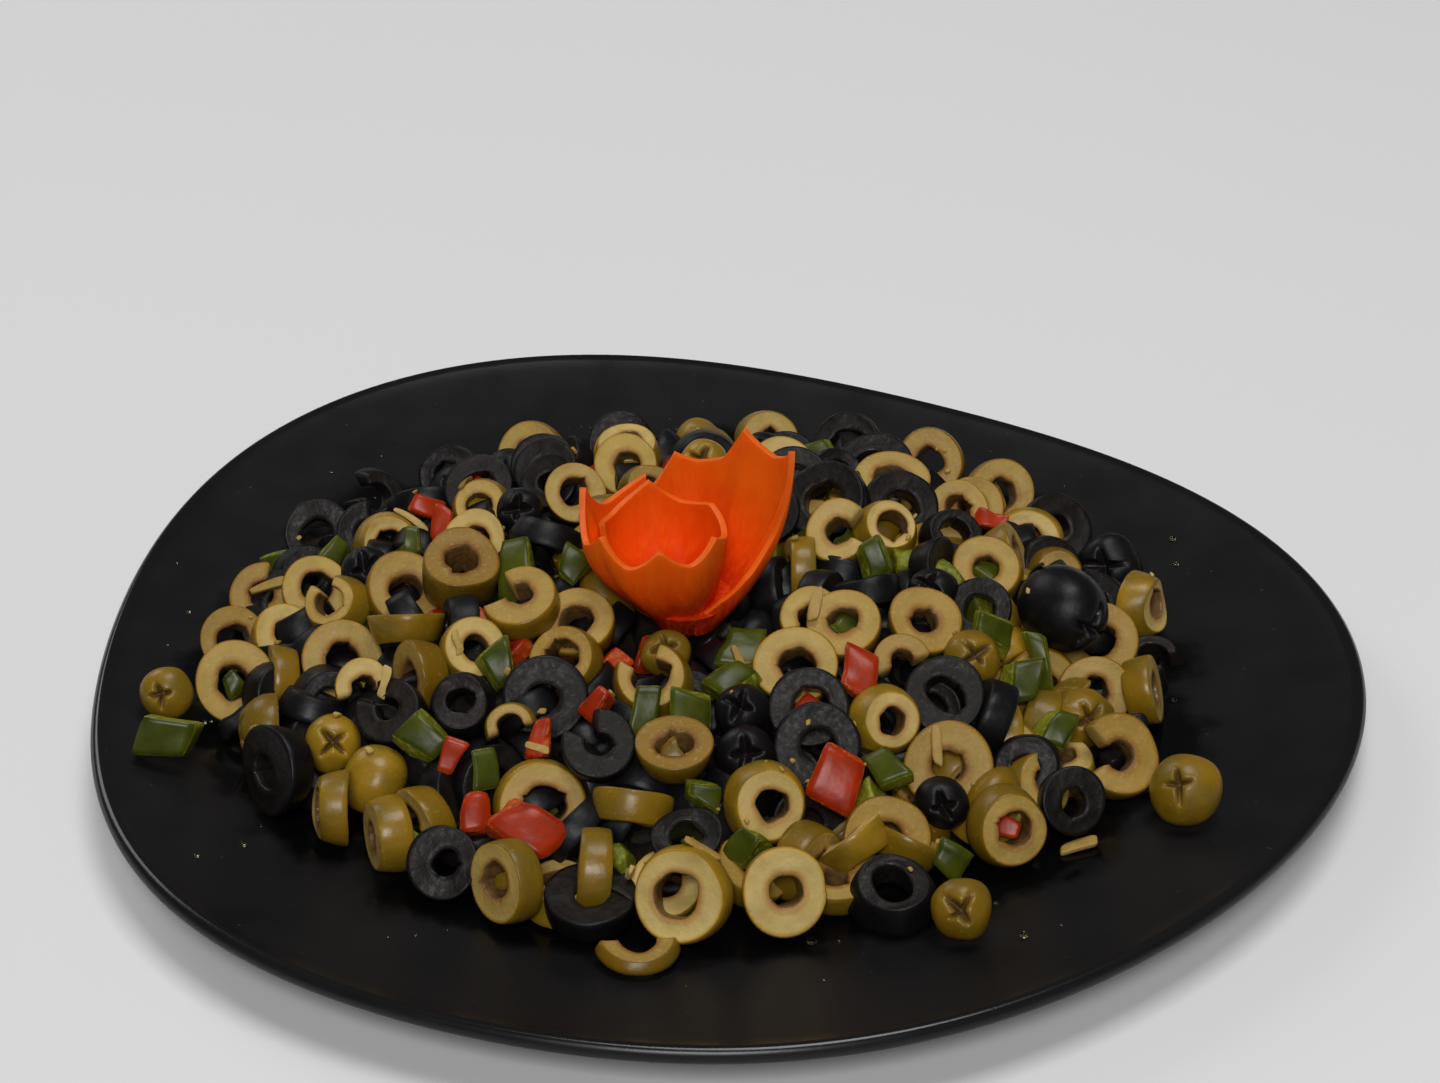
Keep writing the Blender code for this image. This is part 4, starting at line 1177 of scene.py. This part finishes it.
def raw_flesh(tree, place, stops, fleck, light):
    """Wet cut flesh of a raw vegetable, with lighter flecks of opened cells."""
    tint = add(tree, "Attribute", attribute_name="tint").outputs["Fac"]
    across = add(tree, "Attribute", attribute_name="across").outputs["Fac"]
    body = add(tree, "ValToRGB", {"Fac": tint}, stops=stops)
    edged = patched(tree, body, stops[0][1], across, 0.7, 1.0)
    cells = add(tree, "TexNoise", {"Vector": place, "Scale": lumps(0.9), "Detail": 3.0})
    colour = patched(tree, edged, fleck, cells, 0.5, 0.68, 0.7)
    rough = add(tree, "MapRange", {"Value": cells, "From Min": 0.3, "From Max": 0.7, "To Min": 0.28,
                                   "To Max": 0.55})
    lumpy = add(tree, "Bump", {"Height": cells, "Distance": 0.3 * MM})
    return {"Base Color": colour, "Roughness": rough, "Normal": lumpy, "IOR": 1.38,
            "Subsurface Weight": light, "Subsurface Radius": (0.005, 0.003, 0.001),
            "Specular IOR Level": 0.4}


PEPPER = [
    material("green_pepper_skin", raw_skin, "#50560C", "#2E3604"),
    material("green_pepper_flesh", raw_flesh,
             ((0.0, "#5E640E"), (0.5, "#7A7C18"), (1.0, "#8E8C28")), "#A2A044", 0.15),
    material("green_pepper_inner_wall", raw_flesh,
             ((0.0, "#767814"), (1.0, "#8E8C28")), "#A8A450", 0.15),
]
TOMATO = [
    material("tomato_skin", raw_skin, "#B43406", "#8C2002"),
    material("tomato_flesh", raw_flesh,
             ((0.0, "#AE3004"), (0.5, "#C2440C"), (1.0, "#CC5414")), "#DA7C3C", 0.25),
    material("tomato_inner_wall", raw_flesh,
             ((0.0, "#A83404"), (1.0, "#BC4A10")), "#D0762C", 0.25),
]
print("vegetables:", [made.name for made in PEPPER + TOMATO])

# %% [markdown]
# ## Serve the salad
#
# Each kind goes on its own tray and becomes one piece. Slices that show are finer than those below,
# which only fill the gaps.

# %% Put the pieces on their trays
SHOWN_STEPS = 44
BELOW_STEPS = 26
KINDS = {"green": "green_olive", "black": "black_olive", "red": "tomato", "pepper": "pepper"}
FORMS = {"end": "ends", "whole": "ends", "shred": "crumbs", "crumb": "crumbs"}
MATERIALS = {"green": GREEN_OLIVE, "black": BLACK_OLIVE, "red": TOMATO, "pepper": PEPPER}
look = np.random.default_rng(SEED + 1)
trays = {}


def tray_of(piece, layer):
    """The tray that a piece belongs on."""
    form = "slices" if piece.shape in SWEEPS else FORMS.get(piece.shape, "dice")
    name = f"{KINDS[piece.colour]}_{form}_{layer}"
    if name not in trays:
        trays[name] = (Tray(name), piece.colour)
    return trays[name][0]


for layer, pieces, steps in (("on_top", shown, SHOWN_STEPS), ("below", below, BELOW_STEPS)):
    for piece in pieces:
        tray = tray_of(piece, layer)
        tray.put(shape_of(piece, look, steps), piece.axes, piece.centre, look.uniform())
print("trays:", sorted(trays))

# %% [markdown]
# Stirring leaves small dice and bits of olive caught in the holes of slices that face up. Each is
# laid in the middle of its ring and sunk a little, which is quicker than letting it fall there.

# %% Bits caught in the holes
CAUGHT_EVERY = 5
CAUGHT_DEPTH = 1.5
CAUGHT_KINDS = ("pepper dice 6.5", "green bit 8", "red dice 6", "green bit 7")
rings = [piece for piece in shown if piece.shape == "ring" and piece.axes[2, 2] > 0]
for number, ring in enumerate(rings[::CAUGHT_EVERY]):
    words = CAUGHT_KINDS[number % len(CAUGHT_KINDS)]
    bit = Piece(words, ring.centre[0], ring.centre[1], look)
    bit.centre = ring.centre - ring.axes[:, 2] * CAUGHT_DEPTH
    tray_of(bit, "on_top").put(shape_of(bit, look, 0), bit.axes, bit.centre, look.uniform())
print("bits caught:", len(rings[::CAUGHT_EVERY]))

# %% [markdown]
# Slicing and chopping leave shreds and crumbs. They lie wherever they fell, so each is dropped: a
# ray is sent straight down on the pieces already laid, and the crumb takes the place and the slope
# it meets. What misses the heap lands on the plate.

# %% Drop the shreds and crumbs
LOOSE_BLOCKS = {"shred": (1.0, 0.30, 0.16), "crumb": (1.0, 0.8, 0.6)}
SHREDS = ("green shred 7", "green shred 9", "green shred 6", "black shred 6")
CRUMBS = ("green crumb 1.4", "green crumb 0.9", "green crumb 1.9")
SHRED_COUNT = 34
CRUMB_COUNT = 60
CRUMB_REACH = 1.02
CRUMB_CLEAR = 0.05
CRUMB_CUBE = grid_cube(4)
FLOWER_CLEAR = 24.0
BLOCKS.update(LOOSE_BLOCKS)


def laid_surface():
    """Every piece on the trays as one tree that a ray can be sent at."""
    points, faces, start = [], [], 0
    for tray, _ in trays.values():
        points += [tuple(point) for block in tray.points for point in block]
        faces += [tuple(index + start for index in face) for face in tray.faces]
        start += tray.count
    return BVHTree.FromPolygons(points, faces)


def drop(kinds, count, surface):
    """Let small pieces fall on what is laid."""
    for number in range(count):
        x, y = mound_point(CRUMB_REACH * math.sqrt(look.uniform()), look.uniform(0, 2 * math.pi))
        piece = Piece(kinds[number % len(kinds)], x, y, look)
        if math.hypot(x - CARROT_BASE[0], y - CARROT_BASE[1]) < FLOWER_CLEAR:
            continue
        floor = Vector((x, y, float(plate_top(x, y)) + CRUMB_CLEAR))
        place, normal, _, _ = surface.ray_cast(Vector((x, y, 2 * MOUND_HEIGHT)), Vector((0, 0, -1)))
        if place is None:
            place, normal = floor, Vector((0, 0, 1))
        spin = Matrix.Rotation(look.uniform(0, 2 * math.pi), 3, "Z")
        turn = normal.to_track_quat("Z", "X").to_matrix() @ spin
        half = piece.across * BLOCKS[piece.shape][2] / 2
        block = CRUMB_CUBE if piece.shape == "crumb" else CUBE
        points, faces, _, across = block_shape(piece, look, block)
        shape = (points, faces, [CUT] * len(faces), 0 * across + MID_FLESH)
        centre = np.array(place + normal * half)
        tray_of(piece, "on_top").put(shape, turn, centre, look.uniform(), CRUMB_CLEAR)


surface = laid_surface()
drop(SHREDS, SHRED_COUNT, surface)
drop(CRUMBS, CRUMB_COUNT, surface)
print("dropped", SHRED_COUNT, "shreds and", CRUMB_COUNT, "crumbs")

# %% [markdown]
# The trays of the heap are full now, and each becomes one mesh with its three surfaces: skin, cut
# flesh and torn hole or inner wall.

# %% Join the trays of the heap
for tray, colour in trays.values():
    tray.join(MATERIALS[colour], "olive_salad", "salad_heap")

# %% [markdown]
# Brine runs out of the salad and stands on the glaze in drops. A drop is water with a little salt:
# clear, IOR 1.34, flattened by its weight. A squashed sphere for each is enough at this size.

# %% Drops of brine
DROP_COUNT = 40
DROP_RADIUS = (0.3, 1.2)
DROP_RARITY = 3  # the higher, the fewer large drops
DROP_FLATNESS = 0.35
DROP_REACH = (1.0, 1.22)
DROP_CLEAR = 0.02


def round_shape(radius, flatness):
    """A flattened ball, as points, faces, surfaces and places across."""
    ball = bmesh.new()
    bmesh.ops.create_icosphere(ball, subdivisions=2, radius=radius)
    points = np.array([tuple(vert.co) for vert in ball.verts]) * (1, 1, flatness)
    faces = [tuple(vert.index for vert in face.verts) for face in ball.faces]
    ball.free()
    return points, faces, [0] * len(faces), np.zeros(len(points))


def salted_water(tree, place):
    """Brine: clear water with a trace of yellow from the olives."""
    return {"Base Color": linear("#F4EBC8"), "Roughness": 0.02, "IOR": 1.34, "Transmission Weight": 1.0}


drops = Tray("brine_drops")
for _ in range(DROP_COUNT):
    x, y = mound_point(look.uniform(*DROP_REACH), look.uniform(0, 2 * math.pi))
    radius = DROP_RADIUS[0] + (DROP_RADIUS[1] - DROP_RADIUS[0]) * look.uniform() ** DROP_RARITY
    height = float(plate_top(x, y)) + DROP_CLEAR + radius * DROP_FLATNESS
    drops.put(round_shape(radius, DROP_FLATNESS), np.eye(3), np.array((x, y, height)), 0.5, DROP_CLEAR)
drops.join([material("brine", salted_water)], "olive_salad", "salad_heap")

# %% [markdown]
# A few pieces have rolled off the heap and lie apart on the plate: a sliver and three ends of green
# olive, and a dice of pepper. Each stands for a solid of its own, so each has a tray of its own.

# %% Pieces that lie apart on the plate
for name, piece in apart.items():
    tray = Tray(name + "_real")
    tray.put(shape_of(piece, look, SHOWN_STEPS), piece.axes, piece.centre, look.uniform())
    tray.join(MATERIALS[piece.colour], "green_pepper" if piece.colour == "pepper" else "green_olive", name)

# %% [markdown]
# Under both layers lies a core, moist and near-black: painted shade that shows in the gaps between the
# pieces. It is the mound's formula again, sunk by the depth of the layers, and lumpy so that no smooth
# patch shows.

# %% The core of the heap
CORE_REACH = 0.84
CORE_DEPTH = 15.0
CORE_STEPS = 96
CORE_RINGS = 26
CORE_LUMPS = 1.6
CORE_WAVES = (0.55, 0.6, 0.23, 0.31)  # radians a millimetre
CORE_LEAST = 0.5  # least thickness over the plate


def make_core():
    """A lumpy mound that carries the painted shade, closed below by a face that follows the plate."""
    shares = [CORE_REACH * math.sqrt(ring / CORE_RINGS) for ring in range(CORE_RINGS + 1)]
    top = [(share, 1) for share in shares[1:]]
    foot = [(share, 0) for share in shares[:0:-1]]
    points, faces = spun([(0, 1), *top, *foot, (0, 0)], CORE_STEPS)
    on_top = points[:, 2] > 0
    x = MOUND_CENTRE[0] + points[:, 0] * MOUND_REACH[0]
    y = MOUND_CENTRE[1] + points[:, 1] * MOUND_REACH[1]
    a, b, c, d = CORE_WAVES
    lumpy = CORE_LUMPS * (np.sin(x * a) * np.sin(y * b + 1) + np.sin(x * c + y * d))
    floor = plate_top(x, y) + GAP
    height = np.maximum(mound_top(x, y) - CORE_DEPTH + lumpy, floor + CORE_LEAST)
    points = np.stack((x, y, np.where(on_top, height, floor)), axis=1)
    return mesh_object("heap_core", points * MM, faces)


def painted_heap_shade(tree, place):
    """Painted shade deep in the heap: near-black to dark brown, lumpy, rough and moist."""
    shade_blotches = add(tree, "TexNoise", {"Vector": place, "Scale": lumps(5), "Detail": 4.0})
    # Near-black to dark brown: painted shade that shows in the gaps between the pieces.
    colour = add(tree, "ValToRGB", {"Fac": shade_blotches}, stops=((0.35, "#0E0C0A"), (0.7, "#2A2010")))
    lumpy = add(tree, "Bump", {"Height": shade_blotches, "Distance": 1.2 * MM})
    return {"Base Color": colour, "Normal": lumpy, "Roughness": 0.6, "IOR": 1.4}


core = make_core()
core.data.materials.append(material("painted_heap_shade", painted_heap_shade))
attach(core, "root")
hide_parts("salad_heap")
print("core:", len(core.data.polygons), "faces")

# %% [markdown]
# ## The carrot flower
#
# A cook cuts a thin sheet from a carrot, notches its edge to points and rolls it, so that the
# points open like petals; a second, taller sheet stands behind. Each sheet is built as a grid from
# foot to rim, thickened by Solidify to 1.5 mm, and joined at a small foot by a Boolean. Sculpting it
# would work as well, but the grid keeps the cut edges crisp and even.
#
# Carrot is orange because of its pigment, and its flesh lets light in, so shaded places glow red.
# Low down, where the flower sits in the heap, its colour is painted darker and redder as painted shade.
# Fine streaks run along the root, from foot to rim. The cut edges are drier and paler.

# %% Carrot materials
# Low on the flower its colour is painted dark red: painted shade where it sits in the heap.
CARROT_SHADE_HEIGHT = 30.0  # height over which its colour turns from red to orange


def peeled_carrot(tree, place):
    """Peeled raw carrot: orange, painted darker and redder low down as painted shade, with fine streaks
    along the root.
    """
    long_ways = add(tree, "Mapping", {"Vector": place, "Scale": (1.0, 1.0, 0.12)})
    streaks = add(tree, "TexNoise", {"Vector": long_ways, "Scale": lumps(0.8), "Detail": 3.0})
    height = add(tree, "SeparateXYZ", {"Vector": place}).outputs["Z"]
    low, high = CARROT_BASE[2] * MM, (CARROT_BASE[2] + CARROT_SHADE_HEIGHT) * MM
    rise = add(tree, "MapRange", {"Value": height, "From Min": low, "From Max": high})
    # Dark red at the foot to orange higher up: painted shade low down, where the heap shades the flower.
    body = add(tree, "ValToRGB", {"Fac": rise}, stops=(
        (0.0, "#8C1000"), (0.22, "#CC2E00"), (0.5, "#F65204"), (1.0, "#FF6A08")))
    streaked = patched(tree, body, "#FF7A1C", streaks, 0.45, 0.7, 0.3)
    clouds = add(tree, "TexNoise", {"Vector": place, "Scale": lumps(6), "Detail": 3.0})
    colour = patched(tree, streaked, "#D83A00", clouds, 0.45, 0.7, 0.3)
    rough = add(tree, "MapRange", {"Value": streaks, "From Min": 0.3, "From Max": 0.7, "To Min": 0.46,
                                   "To Max": 0.62})
    ribs = add(tree, "Bump", {"Height": streaks, "Distance": 0.14 * MM})
    return {"Base Color": colour, "Roughness": rough, "Normal": ribs, "IOR": 1.4,
            "Subsurface Weight": 0.3, "Subsurface Radius": (0.003, 0.0012, 0.0005),
            "Specular IOR Level": 0.18}


def knife_cut_carrot(tree, place):
    """Knife-cut edge of the carrot: paler and drier than its faces."""
    cells = add(tree, "TexNoise", {"Vector": place, "Scale": lumps(1.2)})
    colour = add(tree, "Mix", {0: cells, 6: linear("#F05E08"), 7: linear("#FA7418")}, data_type="RGBA")
    grainy = add(tree, "Bump", {"Height": cells, "Distance": 0.12 * MM})
    return {"Base Color": colour, "Normal": grainy, "Roughness": 0.5, "IOR": 1.4,
            "Subsurface Weight": 0.3, "Subsurface Radius": (0.003, 0.0012, 0.0005)}


CARROT = [material("peeled_carrot", peeled_carrot), material("knife_cut_carrot", knife_cut_carrot)]
print("carrot:", [made.name for made in CARROT])

# %% [markdown]
# A column of a sheet is a point at its foot and a point at its rim. The cup's columns go round one
# and a quarter times on a shrinking circle, and its rim rises to a tip for each petal. The tall
# sheet's columns follow a smooth path through a few points, and its edge runs up from each notch to
# the next tip in a slight curve, as a knife leaves it.

# %% The sheets
CARROT_WALL = 1.5
CUP_LEAN = -6.0
CUP_START = 100.0
CUP_SWEEP = 450.0
CUP_COLUMNS = 150
CUP_FOOT = (6.5, 2.2)
CUP_RIM = (18.5, 13.0)
CUP_SADDLE = 24.5
# Tips of its petals: direction in degrees and height.
CUP_TIPS = ((100, 29), (168, 35), (222, 31), (272, 30), (325, 29), (395, 27), (460, 30), (550, 28))
PETAL_SHARPNESS = 1.6
SHEET_FOOT = 8.0
# Rim of the sheet, from its low front end round the right to its back end: x, y, height.
SHEET_RIM = (
    (2.5, -8, 6), (8.5, -7, 10), (14, -5, 15), (20, 0.5, 22), (25, 5, 43.5), (21, 10.5, 38.5),
    (14, 15.5, 43), (8.5, 19, 33), (3, 21, 31), (-2.5, 21.5, 33), (-8, 21, 24),
)
SHEET_SPLIT = 12
CARROT_ROWS = 22
TIP_POINTED = 1.35
RIM_WAVE = (0.006, 0.35)  # share of the reach, and radians from one column to the next
CUT_EDGE = 0.22
CUT_EDGE_ANGLE = 50
FOOT_LIFT = 1.0


def modify(thing, name, kind, **settings):
    """Add a modifier with its settings."""
    added = thing.modifiers.new(name, kind)
    for setting, value in settings.items():
        setattr(added, setting, value)


def carrot_sheet(name, columns):
    """A thin wall that flares from foot to rim; a column is its foot and its rim."""
    points = []
    size, step = RIM_WAVE
    for number, (foot, rim) in enumerate(columns):
        for row in range(CARROT_ROWS + 1):
            rise = row / CARROT_ROWS
            flare = math.sin(rise * math.pi / 2)
            x = foot[0] + (rim[0] - foot[0]) * flare
            y = foot[1] + (rim[1] - foot[1]) * flare
            swell = 1 + size * math.sin(number * step) * rise
            points.append((x * swell, y * swell, foot[2] + (rim[2] - foot[2]) * rise))
    rows = CARROT_ROWS + 1
    corners = [column * rows + row for column in range(len(columns) - 1) for row in range(CARROT_ROWS)]
    sheet = mesh_object(name, points, [(i, i + rows, i + rows + 1, i + 1) for i in corners])
    modify(sheet, "wall", "SOLIDIFY", thickness=CARROT_WALL, offset=0, material_offset_rim=1,
           use_quality_normals=True)
    modify(sheet, "soften the cut edges", "BEVEL", width=CUT_EDGE, segments=2, limit_method="ANGLE",
           angle_limit=math.radians(CUT_EDGE_ANGLE))
    return sheet


def petal_height(angle):
    """Height of the cup's rim: pointed tips with smooth saddles between them."""
    number = max(i for i, (way, _) in enumerate(CUP_TIPS[:-1]) if way <= angle)
    (before, low), (after, high) = CUP_TIPS[number:number + 2]
    share = (angle - before) / (after - before)
    tip = low if share < 0.5 else high
    return CUP_SADDLE + (tip - CUP_SADDLE) * abs(2 * share - 1) ** PETAL_SHARPNESS


def cup_columns():
    """Foot and rim of each column of the rolled cup."""
    columns = []
    for step in range(CUP_COLUMNS + 1):
        share = step / CUP_COLUMNS
        angle = CUP_START + CUP_SWEEP * share
        across, along = math.cos(math.radians(angle)), math.sin(math.radians(angle))
        foot = CUP_FOOT[0] + (CUP_FOOT[1] - CUP_FOOT[0]) * share
        rim = CUP_RIM[0] + (CUP_RIM[1] - CUP_RIM[0]) * share
        columns.append(((foot * across, foot * along, FOOT_LIFT),
                        (CUP_LEAN + rim * across, rim * along, petal_height(angle))))
    return columns


def sheet_columns():
    """Foot and rim of each column of the tall sheet: a smooth path, pointed at its tips."""
    path = np.array(SHEET_RIM, float)
    ends = np.concatenate(([2 * path[0] - path[1]], path, [2 * path[-1] - path[-2]]))
    columns = []
    for part in range(len(path) - 1):
        before, start, stop, after = ends[part:part + 4]
        for step in range(SHEET_SPLIT + (part == len(path) - 2)):
            share = step / SHEET_SPLIT
            bend = 0.5 * (2 * start + (stop - before) * share
                          + (2 * before - 5 * start + 4 * stop - after) * share**2
                          + (3 * start - before - 3 * stop + after) * share**3)
            low, high, way = (start, stop, share) if start[2] < stop[2] else (stop, start, 1 - share)
            height = low[2] + (high[2] - low[2]) * way**TIP_POINTED
            scale = SHEET_FOOT / math.hypot(bend[0], bend[1])
            columns.append(((bend[0] * scale, bend[1] * scale, FOOT_LIFT), (bend[0], bend[1], height)))
    return columns


print("rims have", len(CUP_TIPS), "tips and", len(SHEET_RIM), "points")

# %% [markdown]
# The two sheets grow from one short plug that sits in the heap. A union makes them one closed body,
# with soft shading on the walls and a crease at each cut edge.

# %% Join the flower
PLUG_PROFILE = ((0.0, 7.0), (11.0, 7.0), (7.0, 0.0), (0.0, 0.0))
PLUG_STEPS = 48
CREASE_ANGLE = 42


def make_flower():
    """The cup and the tall sheet, joined at a solid foot and moved to their place in the heap."""
    flower = mesh_object("carved_carrot", *spun(PLUG_PROFILE, PLUG_STEPS))
    walls = [carrot_sheet("cup_wall", cup_columns()), carrot_sheet("tall_wall", sheet_columns())]
    for wall in walls:
        modify(flower, "join " + wall.name, "BOOLEAN", operation="UNION", object=wall, solver="MANIFOLD")
    for thing in (flower, *walls):
        for made in CARROT:
            thing.data.materials.append(made)
    graph = bpy.context.evaluated_depsgraph_get()
    joined = bpy.data.meshes.new_from_object(flower.evaluated_get(graph))
    flower.modifiers.clear()
    joined.transform(Matrix.Scale(MM, 4) @ Matrix.Translation(CARROT_BASE))
    joined.shade_smooth()
    joined.set_sharp_from_angle(angle=math.radians(CREASE_ANGLE))
    flower.data = joined
    for wall in walls:
        bpy.data.objects.remove(wall, do_unlink=True)
    return flower


flower = make_flower()
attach(flower, "root")
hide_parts("carrot_flower")
print("carrot flower:", len(flower.data.polygons), "faces")

# %% [markdown]
# ## Floor, light and camera
#
# The plate stands on a pale studio table. A soft lamp overhead gives the short shadow round the
# plate, a broad one in front lights the cut faces and the flower, and a low one behind on the left
# gives the glaze its shine. An even pale world fills the rest. A long lens far away keeps the
# plate's outline as it is.

# %% The studio
FLOOR_SIZE = 6.0
CAMERA_TARGET = (-2.7, 73.3, 0.0)
CAMERA_DOWN = 33.0
CAMERA_AWAY = 910.0
CAMERA_LENS = 88.2
CAMERA_SENSOR = 36.0
# Place in mm, size in mm and watts of each lamp.
LAMPS = (
    ((250, 200, 2300), 1000, 19.0),
    ((-100, -2500, 2400), 1200, 52.0),
    ((-1100, 1300, 1150), 900, 5.5),
)
WORLD_LIGHT = 0.05


def matt_table_top(tree, place):
    """Pale matt laminate: even, with hardly any shine."""
    clouds = add(tree, "TexNoise", {"Vector": place, "Scale": lumps(300), "Detail": 1.0})
    colour = add(tree, "Mix", {0: clouds, 6: linear("#F4F4F4"), 7: linear("#F7F7F7")}, data_type="RGBA")
    return {"Base Color": colour, "Roughness": 0.8}


def make_floor():
    """A large pale matt table top."""
    half = FLOOR_SIZE / 2
    corners = [(-half, -half, 0), (half, -half, 0), (half, half, 0), (-half, half, 0)]
    floor = mesh_object("pale_table", corners, [(0, 1, 2, 3)])
    floor.data.materials.append(material("matt_pale_table", matt_table_top))
    floor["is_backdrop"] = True


def make_lamps():
    """Soft square lamps aimed at the plate."""
    for number, (place, size, watts) in enumerate(LAMPS):
        data = bpy.data.lights.new(f"soft_lamp_{number}", "AREA")
        data.size = size * MM
        data.energy = watts
        lamp = in_scene(data.name, data)
        lamp.location = Vector(place) * MM
        lamp.rotation_euler = (-lamp.location).to_track_quat("-Z", "Y").to_euler()


def make_world(strength):
    """An even pale surround."""
    world = bpy.data.worlds.new("studio")
    world.use_nodes = True
    background = world.node_tree.nodes["Background"]
    background.inputs["Color"].default_value = (1.0, 1.0, 1.0, 1.0)
    background.inputs["Strength"].default_value = strength
    bpy.context.scene.world = world


def make_camera():
    """A long lens that looks down on the plate from the front."""
    data = bpy.data.cameras.new("camera")
    data.lens = CAMERA_LENS
    data.sensor_width = CAMERA_SENSOR
    camera = in_scene("camera", data)
    down = math.radians(CAMERA_DOWN)
    target = Vector(CAMERA_TARGET)
    camera.location = (target + CAMERA_AWAY * Vector((0, -math.cos(down), math.sin(down)))) * MM
    camera.rotation_euler = (math.pi / 2 - down, 0, 0)
    bpy.context.scene.camera = camera


make_floor()
make_lamps()
make_world(WORLD_LIGHT)
make_camera()
bpy.context.scene.view_settings.view_transform = "Standard"
print("camera at", [round(value, 3) for value in bpy.context.scene.camera.location])

# %% [markdown]
# ## Size of the solids and of the dressed part
#
# The dressed part must stay as large as the solids, so both boxes are written down.

# %% Sizes
full_bounds = [list(corner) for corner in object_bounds()]
for axis, name in enumerate("xyz"):
    cad, full = ([corner[axis] * 1000 for corner in box] for box in (cad_bounds, full_bounds))
    print(name, "solids", [round(v, 1) for v in cad], "dressed", [round(v, 1) for v in full])
